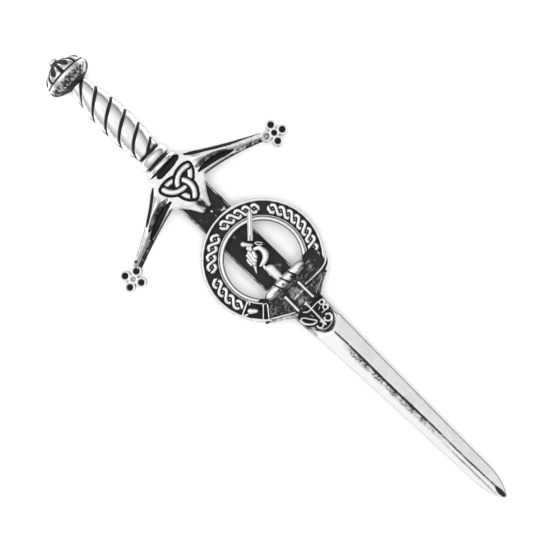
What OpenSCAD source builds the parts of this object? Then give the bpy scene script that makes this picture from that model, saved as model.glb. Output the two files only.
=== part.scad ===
// Kilt pin: a small sword that carries a strap-and-buckle ring, and in it a hand with a dagger.
// It lies on its back, on the two feet of its brooch fitting, with its front up. Millimetres.
// X runs along the sword from the pommel to the blade's tip, Y across it, Z out of the front.
// Inside the modules X is the station, the distance from the pommel's tip along the sword, and
// Z is the height above the casting's flat back.

/* [Sword] */
// Length from the pommel's tip to the blade's tip
overall_length = 100; // [94:1:110]
// Height of the casting's flat back above the surface that the pin lies on
back_height = 5; // [4.6:0.1:6]
// Height of the sword's axis above the flat back
axis_height = 0.8; // [0.6:0.1:1]

/* [Pommel] */
// Greatest radius of the pommel, at its plain band
pommel_radius = 3.9; // [3.6:0.1:4.2]
// Number of lobes round the pommel's dome
pommel_lobes = 8; // [6:1:10]
// How far the pommel sits to the side of the sword's axis
pommel_offset = -0.2; // [-0.4:0.05:0]
// Station where the pommel meets the grip
pommel_end = 5.75; // [5.7:0.05:5.8]

/* [Grip] */
// Greatest radius of the grip
grip_radius = 2.62; // [2.4:0.02:2.8]
// Distance between two turns of the grip's binding
binding_pitch = 2.95; // [2.8:0.05:3.2]
// Width of the groove between two turns
binding_groove = 0.45; // [0.3:0.05:0.6]
// Station where the grip meets the collar
grip_end = 21.45; // [21.4:0.05:21.5]

/* [Guard] */
// Distance between the centres of the two quatrefoils
guard_span = 32.1; // [30:0.1:34]
// Station of the quatrefoils' centres
quatrefoil_station = 33.5; // [33:0.1:34]
// Radius of one lobe of a quatrefoil
lobe_radius = 0.9; // [0.85:0.05:1]
// Radius of the round pits in a quatrefoil
pit_radius = 0.55; // [0.4:0.05:0.6]
// Distance from the knot's middle to each of its three corners
knot_reach = 3.15; // [2.8:0.05:3.3]

/* [Blade] */
// Blade's width at the guard
root_width = 6.1; // [5.9:0.1:6.1]
// Blade's width at the strap end
blade_width = 5.6; // [5.5:0.1:5.8]
// Blade's width where its point starts
point_width = 3.6; // [3:0.1:3.8]
// Length of the blade's rounded point
point_length = 5.7; // [5:0.1:7]
// Height of the dark flat strip between guard and strap end
strip_height = 0.9; // [0.8:0.05:1]
// Height of the ridge where it leaves the strap end
ridge_height = 1.7; // [1.5:0.1:1.9]

/* [Ring] */
// Outer radius of the strap ring
ring_radius = 9.8; // [9.6:0.05:10]
// Radius of the see-through space in the ring
ring_bore = 6.2; // [6:0.05:6.3]
// Height of the ring's sunk band
band_height = 1.6; // [1.5:0.05:1.7]
// Height of the ring's rims
rim_height = 2.2; // [2.1:0.05:2.3]
// Number of loops in the raised ornament on the band
ornament_loops = 25; // [20:1:30]

/* [Brooch fitting] */
// Length of the bar on the casting's back
bar_length = 44; // [40:1:46]
// Width of the bar and of the two feet
bar_width = 3.6; // [3.2:0.1:4]
// Diameter of the pin's stem
stem_diameter = 1.2; // [1:0.1:1.4]
// Height of the stem's axis above the surface that the pin lies on
stem_height = 1.1; // [1:0.1:1.3]

/* [Hidden] */
$fn = 64;

bright = "silver";
dark = "dimgray";

// Sides of the wreath's twists
roll_sides = 16;
// Room left between two pieces that stand side by side
gap = 0.05;
// Half of the widest thing on the pin, for cutters that reach past it
reach = 25;

// Stations and heights of the hilt
band_start = 3.4;
band_end = 4.4;
knob_radius = 0.7;
core_depth = 0.32;
collar_end = 24.6;
guard_root = 30;
guard_height = 2.1;
hollow_height = 1.35;
arm_ridge_height = 2.6;
langet_tip = 34.4;
lobe_offset = 1.4;
knot_width = 0.5;
knot_station = 28.9;

// Stations, heights and widths on the blade and the ring
strip_rim = 0.3;
strip_rim_height = 1.15;
strip_end = 61.3;
point_start = overall_length - point_length;
ridge_fall = 0.6;
ring_station = 46.1;
ring_offset = 0.4;
plate_start = 50.2;
inner_rim_radius = 7.05;
outer_rim_radius = 9.3;
band_radius = (inner_rim_radius + outer_rim_radius) / 2;
// Angles round the ring between which the band carries ornament
ornament_start = 48;
ornament_end = 286;
buckle_start = -66.5;
buckle_end = -41.5;

// Point on a quadratic curve from a to c, drawn towards b
function bend(a, b, c, t) = (1 - t) * (1 - t) * a + 2 * t * (1 - t) * b + t * t * c;
function curve(a, b, c, steps) = [for (i = [0:steps]) bend(a, b, c, i / steps)];
// Points of an arc about a centre, from one angle to another
function arc(centre, radius, from, to, steps) = [
    for (i = [0:steps])
        let (turn = from + (to - from) * i / steps)
        centre + radius * [cos(turn), sin(turn)]
];
function mirrored(points) = [
    for (i = [len(points) - 1:-1:0]) [points[i][0], -points[i][1]]
];

// Half of the blade's width: a slightly hollow taper, then a rounded point
taper_start = 56.3;
function taper_share(station) = max(0, min(1, (station - taper_start) / (point_start - taper_start)));
function blade_half(station) = station < point_start
    ? (point_width + (blade_width - point_width) * pow(1 - taper_share(station), 1.25)) / 2
    : point_width / 2 * pow(max(0, 1 - pow((station - point_start) / point_length, 2)), 0.75);

// Moves a shape from stations and heights into the pin's own frame
module placed() {
    translate([-overall_length / 2, 0, back_height]) children();
}

// A body of revolution about the sword's axis, with its back cut flat
module turned_about_axis(profile) {
    intersection() {
        translate([0, 0, axis_height]) rotate([0, 90, 0]) rotate_extrude() polygon(profile);
        above_back();
    }
}

module above_back() {
    translate([-1, -reach, 0]) cube([overall_length + 2, 2 * reach, 2 * reach]);
}

module plate(points, from, to) {
    translate([0, 0, from]) linear_extrude(to - from) polygon(points);
}

// A bar with round ends between two points, from one height to another
module rounded_bar(a, b, width, from, to) {
    run = b - a;
    turn = atan2(run[1], run[0]);
    plate(concat(
        arc(a, width / 2, turn + 90, turn + 270, 8),
        arc(b, width / 2, turn - 90, turn + 90, 8)
    ), from, to);
}

// A round bar with ball ends, lying at a height
module round_roll(a, b, diameter, height) {
    hull()
        for (end = [a, b])
            translate([end[0], end[1], height]) sphere(d = diameter, $fn = roll_sides);
}

// Space that the ring and its plate fill, which the relief laid over them leaves free
module ring_room(height) {
    translate([ring_station, ring_offset, -1]) difference() {
        cylinder(h = height + 1, r = ring_radius + gap);
        difference() {
            translate([0, 0, -1]) cylinder(h = height + 3, r = ring_bore - gap);
            translate([plate_start - ring_station - gap, -reach, -2])
                cube([reach, 2 * reach, height + 5]);
        }
    }
}

// Space that the blade's strip fills
module strip_room(height) {
    translate([guard_root, -root_width / 2 - gap, -1])
        cube([strip_end - guard_root + gap, root_width + 2 * gap, height + 1]);
}

// Rows: station, share of the pommel's greatest radius
dome_shape = [
    [0.85, 0.15], [1.15, 0.4], [1.75, 0.68], [2.35, 0.86], [2.95, 0.94], [3.3, 0.96]
];

module pommel() {
    recess_radius = 0.85;
    recess_station = 2.1;
    recess_reach = 0.87 * pommel_radius;
    panel_angle = 360 / pommel_lobes;
    color(bright) placed() translate([0, pommel_offset, 0]) difference() {
        union() {
            turned_about_axis(concat(
                [[0, dome_shape[0][0]]],
                [for (row = dome_shape) [pommel_radius * row[1], row[0]]],
                arc([pommel_radius - 0.5, (band_start + band_end) / 2], 0.5, -80, 80, 6),
                curve([pommel_radius - 0.2, band_end], [3.3, 5.3], [1.55, pommel_end], 6),
                [[0, pommel_end]]
            ));
            translate([knob_radius, 0, axis_height]) sphere(r = knob_radius);
        }
        for (i = [0:pommel_lobes / 2])
            translate([recess_station, 0, axis_height])
                rotate([(i + 0.5) * panel_angle - 90, 0, 0])
                translate([0, 0, recess_reach])
                sphere(r = recess_radius);
    }
}

// Rows: station, share of the grip's greatest radius
grip_shape = [
    [0, 0.59], [1.6, 0.69], [3.6, 0.84], [5.6, 0.94], [8.6, 1], [10.6, 1], [12.6, 0.92],
    [14.6, 0.78], [15.7, 0.74]
];

module grip() {
    length = grip_end - pommel_end;
    outer = [for (row = grip_shape) [grip_radius * row[1], pommel_end + row[0] * length / 15.7]];
    core = [for (p = outer) [p[0] - core_depth, p[1]]];
    color(bright) placed() {
        turned_about_axis(concat([[0, pommel_end]], core, [[0, grip_end]]));
        difference() {
            turned_about_axis(concat([[0, pommel_end]], outer, [[0, grip_end]]));
            for (i = [0:5])
                translate([pommel_end + 0.95 + i * binding_pitch, 0, reach / 2])
                    rotate([0, 0, 45])
                    cube([binding_groove, reach, 2 * reach], center = true);
        }
    }
}

module collar() {
    wide_bead = 0.85;
    thin_bead = 0.42;
    neck = 2.1;
    color(bright) placed() turned_about_axis(concat(
        [[0, grip_end], [1.94, grip_end]],
        arc([1.9, grip_end + 0.2 + wide_bead], wide_bead, -80, 80, 8),
        [[neck, collar_end - 0.86]],
        arc([2.53, collar_end - thin_bead], thin_bead, -150, 80, 8),
        [[2.53, collar_end], [0, collar_end]]
    ));
}

// Rows for one arm: a factor for the side, its root on the hilt's side, its root on the blade's
// side, how far the hilt's edge bows towards the blade, and the point that draws the blade's edge
upper_arm = [1, [24.95, 3.3], [30.1, 4.2], 0.3, [30.85, 8.9]];
lower_arm = [-1, [24.95, 3.0], [30.3, 4.2], 1.0, [31.4, 8.9]];
arm_tip_hilt = [32.1, 14.7];
arm_tip_blade = [33.6, 14.3];
// Where each arm's hollow fillet runs out on the blade
fillet_end = [30.95, 3.2];

function arm_outline(arm) = concat(
    [[collar_end, 0], [collar_end, arm[1][1] - 0.4]],
    curve(arm[1], (arm[1] + arm_tip_hilt) / 2 + [arm[3], -arm[3] / 2], arm_tip_hilt, 6),
    curve(arm_tip_blade, arm[4], arm[2], 8),
    curve(arm[2] - [0, 0.3], [arm[2][0] + 0.1, fillet_end[1] + 0.1], fillet_end, 3),
    [[guard_root, fillet_end[1] - 0.05], [guard_root, 0]]
);
function sided(points, side) = side > 0 ? points : mirrored(points);

module arm_plan(arm) {
    polygon(sided(arm_outline(arm), arm[0]));
}

// The hollow on the blade's side of an arm, and the thin one on its hilt's side
module arm_hollows(arm) {
    inner = curve([28.85, 4], [29.2, 6.6], [30.75, 9.4], 6);
    outer = curve([30.8, 9.3], [30.0, 7], [29.5, 4.1], 6);
    thin = [[26.1, 4.5], [30.6, 11.2], [30.3, 11.3], [25.7, 4.7]];
    shift = arm[0] > 0 ? [0, 0] : [0.5, 0];
    for (points = [concat(inner, outer), thin])
        plate(sided([for (p = points) p + shift], arm[0]), hollow_height, 2 * guard_height);
}

module arm_ridge(arm) {
    shift = arm[0] > 0 ? [0, 0] : [0.45, 0];
    foot = [[27.9, 4.1], [28.6, 4.2]];
    tip = [[32.75, 14.6], [32.5, 14.6]];
    crown = [foot[0] + shift, foot[1] + shift, tip[0], tip[1]];
    plate(sided(crown, arm[0]), guard_height - 0.5, arm_ridge_height);
}

module quatrefoil(side) {
    turn = -22 * side;
    translate([quatrefoil_station, side * guard_span / 2, 0]) rotate([0, 0, turn]) difference() {
        union() {
            for (i = [0:3]) rotate([0, 0, 90 * i])
                translate([lobe_offset, 0, 0]) cylinder(h = guard_height + 0.1, r = lobe_radius);
            cylinder(h = guard_height, r = lobe_offset);
        }
        for (i = [0:3]) rotate([0, 0, 90 * i])
            translate([lobe_offset, 0, 1]) cylinder(h = guard_height, r = pit_radius);
        translate([0, 0, 1]) cylinder(h = guard_height, r = pit_radius - 0.1);
    }
}

// A three-cornered knot: three half rings, each about one third of the way round the middle
module knot() {
    radius = knot_reach / 1.155;
    for (i = [0:2])
        rotate([0, 0, 120 * i + 60])
        translate([radius / sqrt(3), 0, 0])
        rotate([0, 0, 90])
        rotate_extrude(angle = 180)
        translate([radius - knot_width / 2, hollow_height - 0.1])
        square([knot_width, guard_height - hollow_height + 0.25]);
}

module guard() {
    field = [for (i = [0:2]) 120 * i];
    field_radius = knot_reach + 0.35;
    recess = [collar_end + 0.12, 0.6, 4];
    color(bright) placed() {
        difference() {
            union() {
                for (arm = [upper_arm, lower_arm])
                    linear_extrude(guard_height) arm_plan(arm);
                plate([
                    [guard_root - 0.5, 3.1], [guard_root + 2.6, 1.75], [langet_tip, 0.75],
                    [langet_tip, -0.75], [guard_root + 2.6, -1.75], [guard_root - 0.5, -3.1]
                ], strip_rim_height, guard_height);
                for (arm = [upper_arm, lower_arm]) arm_ridge(arm);
            }
            for (arm = [upper_arm, lower_arm]) arm_hollows(arm);
            plate([
                for (turn = field)
                    each arc([knot_station, 0] + (field_radius - 1) * [cos(turn), sin(turn)],
                        1, turn - 50, turn + 50, 4)
            ], hollow_height, 2 * guard_height);
            translate([recess[0], -recess[2] / 2, hollow_height])
                cube([recess[1], recess[2], guard_height]);
            strip_room(strip_rim_height);
        }
        translate([knot_station, 0, 0]) knot();
        for (side = [-1, 1]) quatrefoil(side);
    }
}

module blade() {
    taper_steps = 5;
    point_steps = 10;
    edge = concat(
        [for (i = [0:taper_steps])
            let (station = strip_end + (point_start - strip_end) * i / taper_steps)
            [station, blade_half(station)]],
        [for (i = [1:point_steps])
            let (station = point_start + point_length * sin(90 * i / point_steps))
            [station, blade_half(station)]]
    );
    roof_slope = 0.8 / 2.9;
    strip = [
        [guard_root, root_width / 2], [taper_start, blade_half(taper_start)],
        [strip_end, blade_half(strip_end)]
    ];
    rim = concat(strip, [for (i = [2:-1:0]) strip[i] - [0, strip_rim]]);
    color(bright) placed() {
        plate(concat(strip, mirrored(strip)), 0, strip_height);
        for (side = [-1, 1])
            plate(sided(rim, side), strip_height - 0.1, strip_rim_height);
        intersection() {
            plate(concat(edge, mirrored([for (i = [0:len(edge) - 2]) edge[i]])), 0, 3);
            translate([strip_end, 0, 0])
                rotate([0, atan(ridge_fall / (overall_length - strip_end)), 0])
                rotate([90, 0, 90])
                translate([0, 0, -1])
                linear_extrude(overall_length)
                polygon([
                    [-4, -3], [4, -3], [4, ridge_height - 4 * roof_slope], [0, ridge_height],
                    [-4, ridge_height - 4 * roof_slope]
                ]);
        }
    }
}

// One loop of the raised ornament, at an angle round the ring
module ornament_loop(turn) {
    radius = 0.92;
    width = 0.32;
    rotate([0, 0, turn]) translate([band_radius, 0, band_height - 0.1]) difference() {
        cylinder(h = 0.5, r = radius);
        translate([0, 0, -1]) cylinder(h = 3, r = radius - width);
    }
}

module ring_profile() {
    polygon([
        [ring_bore, 0], [ring_radius, 0], [ring_radius, rim_height],
        [outer_rim_radius, rim_height], [outer_rim_radius, band_height],
        [inner_rim_radius, band_height], [inner_rim_radius, rim_height], [ring_bore, rim_height]
    ]);
}

// Outline of the ring's plain stretch, with the strap's fold that stands out of the circle
plain_outline = [
    [50.2, 8.6], [52.3, 8.4], [53.5, 7.9], [54.35, 6.8], [55.55, 4.2], [56.4, 2.9],
    [56.4, -2.7], [55.6, -3.5], [53.6, -6.6], [53.0, -5.2], [51.2, -3.2], [plate_start, -3.2],
    [plate_start, 3.6], [51.5, 4.6], [49.6, 7.5]
];

// The ring is a full turn, plain and flat where the strap's end crosses it beside the wreath
module strap_ring() {
    step = (ornament_end - ornament_start) / (ornament_loops - 1);
    color(dark) placed() difference() {
        union() {
            translate([ring_station, ring_offset, 0]) {
                difference() {
                    rotate_extrude() ring_profile();
                    translate([plate_start - ring_station, -5.2 - ring_offset, band_height])
                        cube([reach, 12.2, reach]);
                }
                for (i = [0:ornament_loops - 1]) ornament_loop(ornament_start + i * step);
            }
            plate(plain_outline, 0, band_height);
        }
        strip_room(strip_rim_height);
    }
}

// A stretch of flat ring between two angles
module ring_stretch(inner, outer, from, to, low, high) {
    rotate([0, 0, from])
        rotate_extrude(angle = to - from)
        translate([inner, low])
        square([outer - inner, high - low]);
}

module buckle() {
    frame = 0.45;
    frame_turn = 3.2;
    inner = inner_rim_radius - 0.15;
    outer = ring_radius - 0.1;
    top = rim_height + 0.6;
    prong_turns = [-62, buckle_end - 2];
    prong_radii = [8.35, 8.1];
    color(bright) placed() translate([ring_station, ring_offset, 0]) {
        difference() {
            ring_stretch(inner, outer, buckle_start, buckle_end, rim_height, top);
            ring_stretch(
                inner + frame, outer - frame, buckle_start + frame_turn, buckle_end - frame_turn,
                rim_height - 1, top + 1
            );
        }
        rounded_bar(
            prong_radii[0] * [cos(prong_turns[0]), sin(prong_turns[0])],
            prong_radii[1] * [cos(prong_turns[1]), sin(prong_turns[1])],
            0.6, rim_height, top + 0.1
        );
    }
}

// The roll is a row of slanted twists on a flat foot
module wreath() {
    start = [plate_start + 0.2, -3.05];
    twist = [1.0, 1.2];
    spacing = 1.9;
    height = band_height + 0.35;
    color(bright) placed() intersection() {
        for (i = [0:3]) {
            low = start + [0, i * spacing];
            round_roll(low, low + twist, 1.55, height);
        }
        translate([plate_start, -reach, band_height])
            cube([1.75, 2 * reach, reach]);
    }
}

// Rows for the hand's forms: start, end, width, height above the strip
hand_forms = [
    [[44.6, 0.15], [45.9, 0.65], 0.7, 1.95], [[44.2, -0.4], [46.0, 0.0], 0.75, 2.05],
    [[44.6, -1.0], [46.2, -0.6], 0.75, 1.95], [[45.2, -1.5], [46.6, -1.2], 0.65, 1.75],
    [[44.5, 1.0], [45.6, 1.5], 0.8, 1.9], [[45.6, 1.5], [46.6, 0.2], 0.85, 1.8],
    [[46.2, -0.3], [48.9, 0.2], 1.5, 1.5]
];

module crest() {
    dagger_tip = [39.5, 4.3];
    dagger_root = [42.6, 1.2];
    dagger_end = [44.9, -0.9];
    color(bright) placed() difference() {
        union() {
            rounded_bar(dagger_tip, dagger_root, 0.8, strip_rim_height, 2.8);
            rounded_bar(dagger_root, dagger_end, 0.7, strip_height, 2.6);
            rounded_bar([42.2, -0.25], [44.2, 1.9], 0.85, strip_height, 2.9);
            for (row = hand_forms)
                rounded_bar(row[0], row[1], row[2], strip_height, strip_height + row[3]);
        }
        ring_room(rim_height);
        strip_edge_room();
    }
}

// Space of the strip's two raised edges
module strip_edge_room() {
    inner = blade_width / 2 - strip_rim - gap;
    for (side = [-1, 1])
        translate([guard_root, side > 0 ? inner : -inner - 1, 0])
            cube([strip_end - guard_root, 1, strip_rim_height]);
}

// The strap's tail with two raised bars, and the chape that closes it
module strap_end() {
    tail = [52.3, 56.2];
    bars = [1.7, -1.45];
    chape_tip = 61.1;
    field_height = band_height + 0.25;
    outline = concat(
        [[55.9, 1.2], [56.6, 1.9]],
        curve([57.0, 2.3], [59.6, 2.5], [chape_tip, 0.6], 6)
    );
    // Rows: station, distance from the sword's middle, radius
    scrolls = [[57.5, 1.6, 0.62], [58.35, 0.9, 0.7], [59.75, 0.9, 0.8]];
    color(dark) placed() difference() {
        union() {
            plate([
                [tail[0], bars[0]], [tail[1], bars[0]], [tail[1], bars[1]], [tail[0], bars[1]]
            ], strip_height, field_height);
            for (y = bars)
                rounded_bar([tail[0] + 0.2, y], [tail[1] - 0.2, y], 0.45, band_height, 2.3);
            plate(concat(outline, mirrored(outline)), strip_height, 1.55);
            for (row = scrolls, side = [-1, 1])
                translate([row[0], side * row[1], 1.4]) difference() {
                    cylinder(h = 0.65, r = row[2]);
                    translate([0, 0, -1]) cylinder(h = 3, r = row[2] - 0.3);
                }
            rounded_bar([55.9, 0.1], [60.3, 0.1], 0.55, 1.4, 2.3);
        }
        ring_room(band_height);
        plate(plain_outline, -1, band_height);
    }
}

// Bar, hinge block, stem and catch of the hidden brooch fitting, in one piece
module brooch_pin() {
    bar_thickness = 0.8;
    bar_start = 26;
    knuckle_station = bar_start + 3.5;
    foot_width = 4.4;
    catch_length = 3.5;
    catch_floor = stem_height - stem_diameter / 2 + 0.1;
    point = 3;
    bar_end = bar_start + bar_length;
    catch_start = bar_end - catch_length - 1.5;
    stem_end = bar_end - 1;
    stem_axis = stem_height - back_height;
    bar_low = -bar_thickness + 0.1;
    half = bar_width / 2;
    color("gray") placed() {
        translate([bar_start, -bar_width / 2, -bar_thickness])
            cube([bar_length, bar_width, bar_thickness]);
        translate([0, half, 0]) rotate([90, 0, 0]) linear_extrude(bar_width) polygon(concat(
            [[knuckle_station + foot_width / 2, bar_low],
                [knuckle_station - foot_width / 2, bar_low]],
            arc([knuckle_station, stem_axis], stem_height, 180, 360, 16)
        ));
        translate([catch_start, 0, 0]) rotate([90, 0, 90]) linear_extrude(catch_length) polygon([
            [-half, bar_low], [-half, -back_height], [half, -back_height],
            [half, stem_axis + 0.9], [half - 0.6, stem_axis + 0.9],
            [half - 0.6, catch_floor - back_height], [-half + 0.9, catch_floor - back_height],
            [-half + 0.9, bar_low]
        ]);
        translate([knuckle_station, 0, stem_axis])
            rotate([0, 90, 0])
            cylinder(h = stem_end - point - knuckle_station, d = stem_diameter);
        translate([stem_end - point, 0, stem_axis])
            rotate([0, 90, 0])
            cylinder(h = point, d1 = stem_diameter, d2 = 0.2);
    }
}

pommel();
grip();
collar();
guard();
blade();
strap_ring();
buckle();
wreath();
crest();
strap_end();
brooch_pin();
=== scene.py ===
"""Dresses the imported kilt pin: cast relief for every form of the sword, its ring and its crest.

Lengths in the functions are millimetres in the pin's own plan: a station is the distance from
the pommel's tip along the sword, y lies across it, and a height is above the casting's flat back.
"""

import math

import bmesh
import bpy
import numpy as np
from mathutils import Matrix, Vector


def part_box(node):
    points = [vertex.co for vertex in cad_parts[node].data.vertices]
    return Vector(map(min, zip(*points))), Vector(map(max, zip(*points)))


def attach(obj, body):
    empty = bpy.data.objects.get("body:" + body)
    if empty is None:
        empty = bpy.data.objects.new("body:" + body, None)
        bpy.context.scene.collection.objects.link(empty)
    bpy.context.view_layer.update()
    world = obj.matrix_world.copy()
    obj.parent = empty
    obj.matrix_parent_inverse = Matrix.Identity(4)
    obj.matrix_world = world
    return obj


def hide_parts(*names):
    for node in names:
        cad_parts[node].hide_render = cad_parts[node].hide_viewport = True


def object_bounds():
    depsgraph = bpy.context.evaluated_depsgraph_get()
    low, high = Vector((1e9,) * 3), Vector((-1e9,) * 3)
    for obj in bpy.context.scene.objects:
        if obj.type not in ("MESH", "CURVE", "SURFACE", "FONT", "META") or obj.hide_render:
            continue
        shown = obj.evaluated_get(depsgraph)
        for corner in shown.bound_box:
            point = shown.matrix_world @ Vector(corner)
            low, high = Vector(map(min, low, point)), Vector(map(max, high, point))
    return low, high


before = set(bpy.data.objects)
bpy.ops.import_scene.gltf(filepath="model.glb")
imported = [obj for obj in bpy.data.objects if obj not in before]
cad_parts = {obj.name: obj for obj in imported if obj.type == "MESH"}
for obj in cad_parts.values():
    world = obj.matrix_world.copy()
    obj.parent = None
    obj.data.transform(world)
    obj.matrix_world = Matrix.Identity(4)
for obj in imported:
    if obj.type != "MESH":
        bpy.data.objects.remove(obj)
cad_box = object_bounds()

bl_info = {
    "name": "Kilt pin",
    "version": (1, 0, 0),
    "blender": (4, 5, 0),
    "location": "View3D > Sidebar > Kilt Pin",
    "description": "A cast sword pin with a strap-and-buckle ring, in antiqued pewter",
    "category": "Object",
}

MM = 0.001

# Steps of a drawn curve, the hilt's axis above the back, and what a wall keeps of its rim's polish:
# the walls are darkened as painted shade
CURVE_STEPS = 60
AXIS_HEIGHT = 0.8
WALL_SHINE = 0.3


# Numbers worked out from the frame

START = cad_box[0].x / MM
LENGTH = (cad_box[1].x - cad_box[0].x) / MM
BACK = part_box("blade")[0].z / MM


def station_of(node, end):
    """Station of a CAD node's low (0) or high (1) end along the sword."""
    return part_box(node)[end].x / MM - START


POMMEL_END = station_of("pommel", 1)
POMMEL_Y = (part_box("pommel")[1].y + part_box("pommel")[0].y) / 2 / MM
GRIP_END = station_of("grip", 1)
COLLAR_END = station_of("collar", 1)
GUARD_ROOT = station_of("blade", 0)
RING_LOW, RING_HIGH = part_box("strap_ring")
RING_RADIUS = (RING_HIGH.y - RING_LOW.y) / 2 / MM
RING_STATION = RING_LOW.x / MM - START + RING_RADIUS
RING_Y = (RING_HIGH.y + RING_LOW.y) / 2 / MM
BLADE_WIDTH = (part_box("blade")[1].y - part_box("blade")[0].y) / MM


# Shaping functions


def smooth(low, high, x):
    """Rises from 0 at low to 1 at high as 3t squared minus 2t cubed, and runs down if low > high."""
    t = np.clip((x - low) / (high - low), 0.0, 1.0)
    return t * t * (3.0 - 2.0 * t)


def bump(distance, half_width):
    """Round back of a bead: the square root of 1 minus (distance / half width) squared."""
    return np.sqrt(np.clip(1.0 - (distance / half_width) ** 2, 0.0, 1.0))


def edge_round(distance, radius):
    """Drop of a rounded edge: radius minus a quarter circle's height at that distance inside."""
    inside = np.clip(distance, 0.0, radius)
    return radius - np.sqrt(np.clip(radius**2 - (radius - inside) ** 2, 0.0, None))


def painted_side_shade(angle):
    """Painted shade on a round form near its sides, where the sine of the angle nears 1."""
    return 0.75 * smooth(0.93, 0.998, np.abs(np.sin(angle))) * (np.cos(angle) > -0.2)


def curve(points, samples):
    """Smooth path through the points: a Catmull-Rom cubic between each two of them."""
    p = np.asarray(points, float)
    p = np.vstack([2 * p[0] - p[1], p, 2 * p[-1] - p[-2]])
    t = np.linspace(0, 1, samples, endpoint=False)[:, None]
    runs = []
    for a, b, c, d in zip(p[:-3], p[1:-2], p[2:-1], p[3:]):
        runs.append(
            0.5 * (2 * b + (c - a) * t + (2 * a - 5 * b + 4 * c - d) * t**2
                   + (3 * b - a - 3 * c + d) * t**3)
        )
    return np.vstack(runs + [p[-2:-1]])


def quadratic(a, b, c):
    """Path from a to c drawn towards b: (1 - t)^2 a + 2 t (1 - t) b + t^2 c."""
    t = np.linspace(0, 1, CURVE_STEPS)[:, None]
    return (1 - t) ** 2 * np.array(a) + 2 * t * (1 - t) * np.array(b) + t**2 * np.array(c)


def path_distance(x, y, path):
    """Distance of each point to a polyline, and the share of its length where the foot lies."""
    a, b = path[:-1], path[1:]
    run = b - a
    length = np.maximum((run**2).sum(1), 1e-12)
    steps = np.sqrt(length)
    before = np.concatenate([[0.0], np.cumsum(steps)])[:-1]
    best = np.full(x.shape, np.inf)
    share = np.zeros(x.shape)
    for k in range(len(a)):
        t = np.clip(((x - a[k, 0]) * run[k, 0] + (y - a[k, 1]) * run[k, 1]) / length[k], 0, 1)
        d = np.hypot(x - a[k, 0] - t * run[k, 0], y - a[k, 1] - t * run[k, 1])
        near = d < best
        best = np.where(near, d, best)
        share = np.where(near, (before[k] + t * steps[k]) / steps.sum(), share)
    return best, share


def ripple(x, y, size, seed):
    """Uneven cast surface, about -1 to 1, from two layers of seeded random patches.

    Each layer takes random values at the corners of a square lattice, the size wide or half of
    it, and blends them by the smooth step of the place within a square.
    """
    x, y = np.broadcast_arrays(x, y)
    values = np.random.default_rng(seed).uniform(-1, 1, (2, 97, 89))
    total = np.zeros(x.shape)
    for layer, share in enumerate((0.9, 0.5)):
        u = (x * 0.8 + y * 0.6) / size * (layer + 1)
        v = (y * 0.8 - x * 0.6) / size * (layer + 1)
        i, j = np.floor(u).astype(int), np.floor(v).astype(int)
        a, b = smooth(0, 1, u - i), smooth(0, 1, v - j)
        corner = [values[layer][(i + p) % 97, (j + q) % 89] for p in (0, 1) for q in (0, 1)]
        low = corner[0] * (1 - b) + corner[1] * b
        high = corner[2] * (1 - b) + corner[3] * b
        total += share * (low * (1 - a) + high * a)
    return total


# Closed shells from arrays


def quads_of(rows, columns, wrap=False):
    """Quads between neighbouring points of a grid, with the columns joined round if wrap."""
    i, j = np.meshgrid(np.arange(rows - 1), np.arange(columns if wrap else columns - 1),
                       indexing="ij")
    k = (j + 1) % columns
    quads = np.stack([i * columns + j, i * columns + k, (i + 1) * columns + k,
                      (i + 1) * columns + j], -1)
    return quads.reshape(-1, 4)


def slab(x, y, top, polish_and_shade, bottom=0.0):
    """Solid under a height field: its walls drop from the grid's rim to a flat bottom."""
    rows, columns = x.shape
    points = np.stack([x, y, top], -1).reshape(-1, 3)
    left = np.stack([x[:, 0], y[:, 0], np.full(rows, bottom)], -1)
    right = np.stack([x[:, -1], y[:, -1], np.full(rows, bottom)], -1)
    base = len(points)
    low_left = base + np.arange(rows)
    low_right = base + rows + np.arange(rows)
    up_left = np.arange(rows) * columns
    up_right = up_left + columns - 1
    strips = [
        np.stack([up_left[:-1], up_left[1:], low_left[1:], low_left[:-1]], -1),
        np.stack([up_right[1:], up_right[:-1], low_right[:-1], low_right[1:]], -1),
        np.stack([low_left[:-1], low_left[1:], low_right[1:], low_right[:-1]], -1),
    ]
    ends = [
        [*range(columns - 1, -1, -1), low_left[0], low_right[0]],
        [*range((rows - 1) * columns, rows * columns), low_right[-1], low_left[-1]],
    ]
    # The walls keep only WALL_SHINE of their rim's polish: painted shade.
    walls = [WALL_SHINE * polish_and_shade[:, 0], WALL_SHINE * polish_and_shade[:, -1]]
    shine = np.concatenate([polish_and_shade.ravel(), *walls])
    faces = [quads_of(rows, columns)] + strips
    return np.vstack([points, left, right]), np.vstack(faces), ends, shine


def disc(x, y, top, polish_and_shade):
    """Solid under a polar height field: row 0 is the middle, the last row the rim."""
    rows, columns = x.shape
    points = np.stack([x, y, top], -1).reshape(-1, 3)
    rim = np.stack([x[-1], y[-1], np.zeros(columns)], -1)
    middle = [[x[0].mean(), y[0].mean(), top[0].mean()]]
    quads = quads_of(rows + 1, columns, wrap=True)
    count = len(points) + columns
    fan = [[k, (k + 1) % columns, count] for k in range(columns)]
    floor = [list(range(len(points) + columns - 1, len(points) - 1, -1))]
    # The rim wall keeps only WALL_SHINE of the rim's polish: painted shade.
    shine = np.concatenate([polish_and_shade.ravel(), WALL_SHINE * polish_and_shade[-1], [polish_and_shade[0].mean()]])
    return np.vstack([points, rim, middle]), quads, fan + floor, shine


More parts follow.
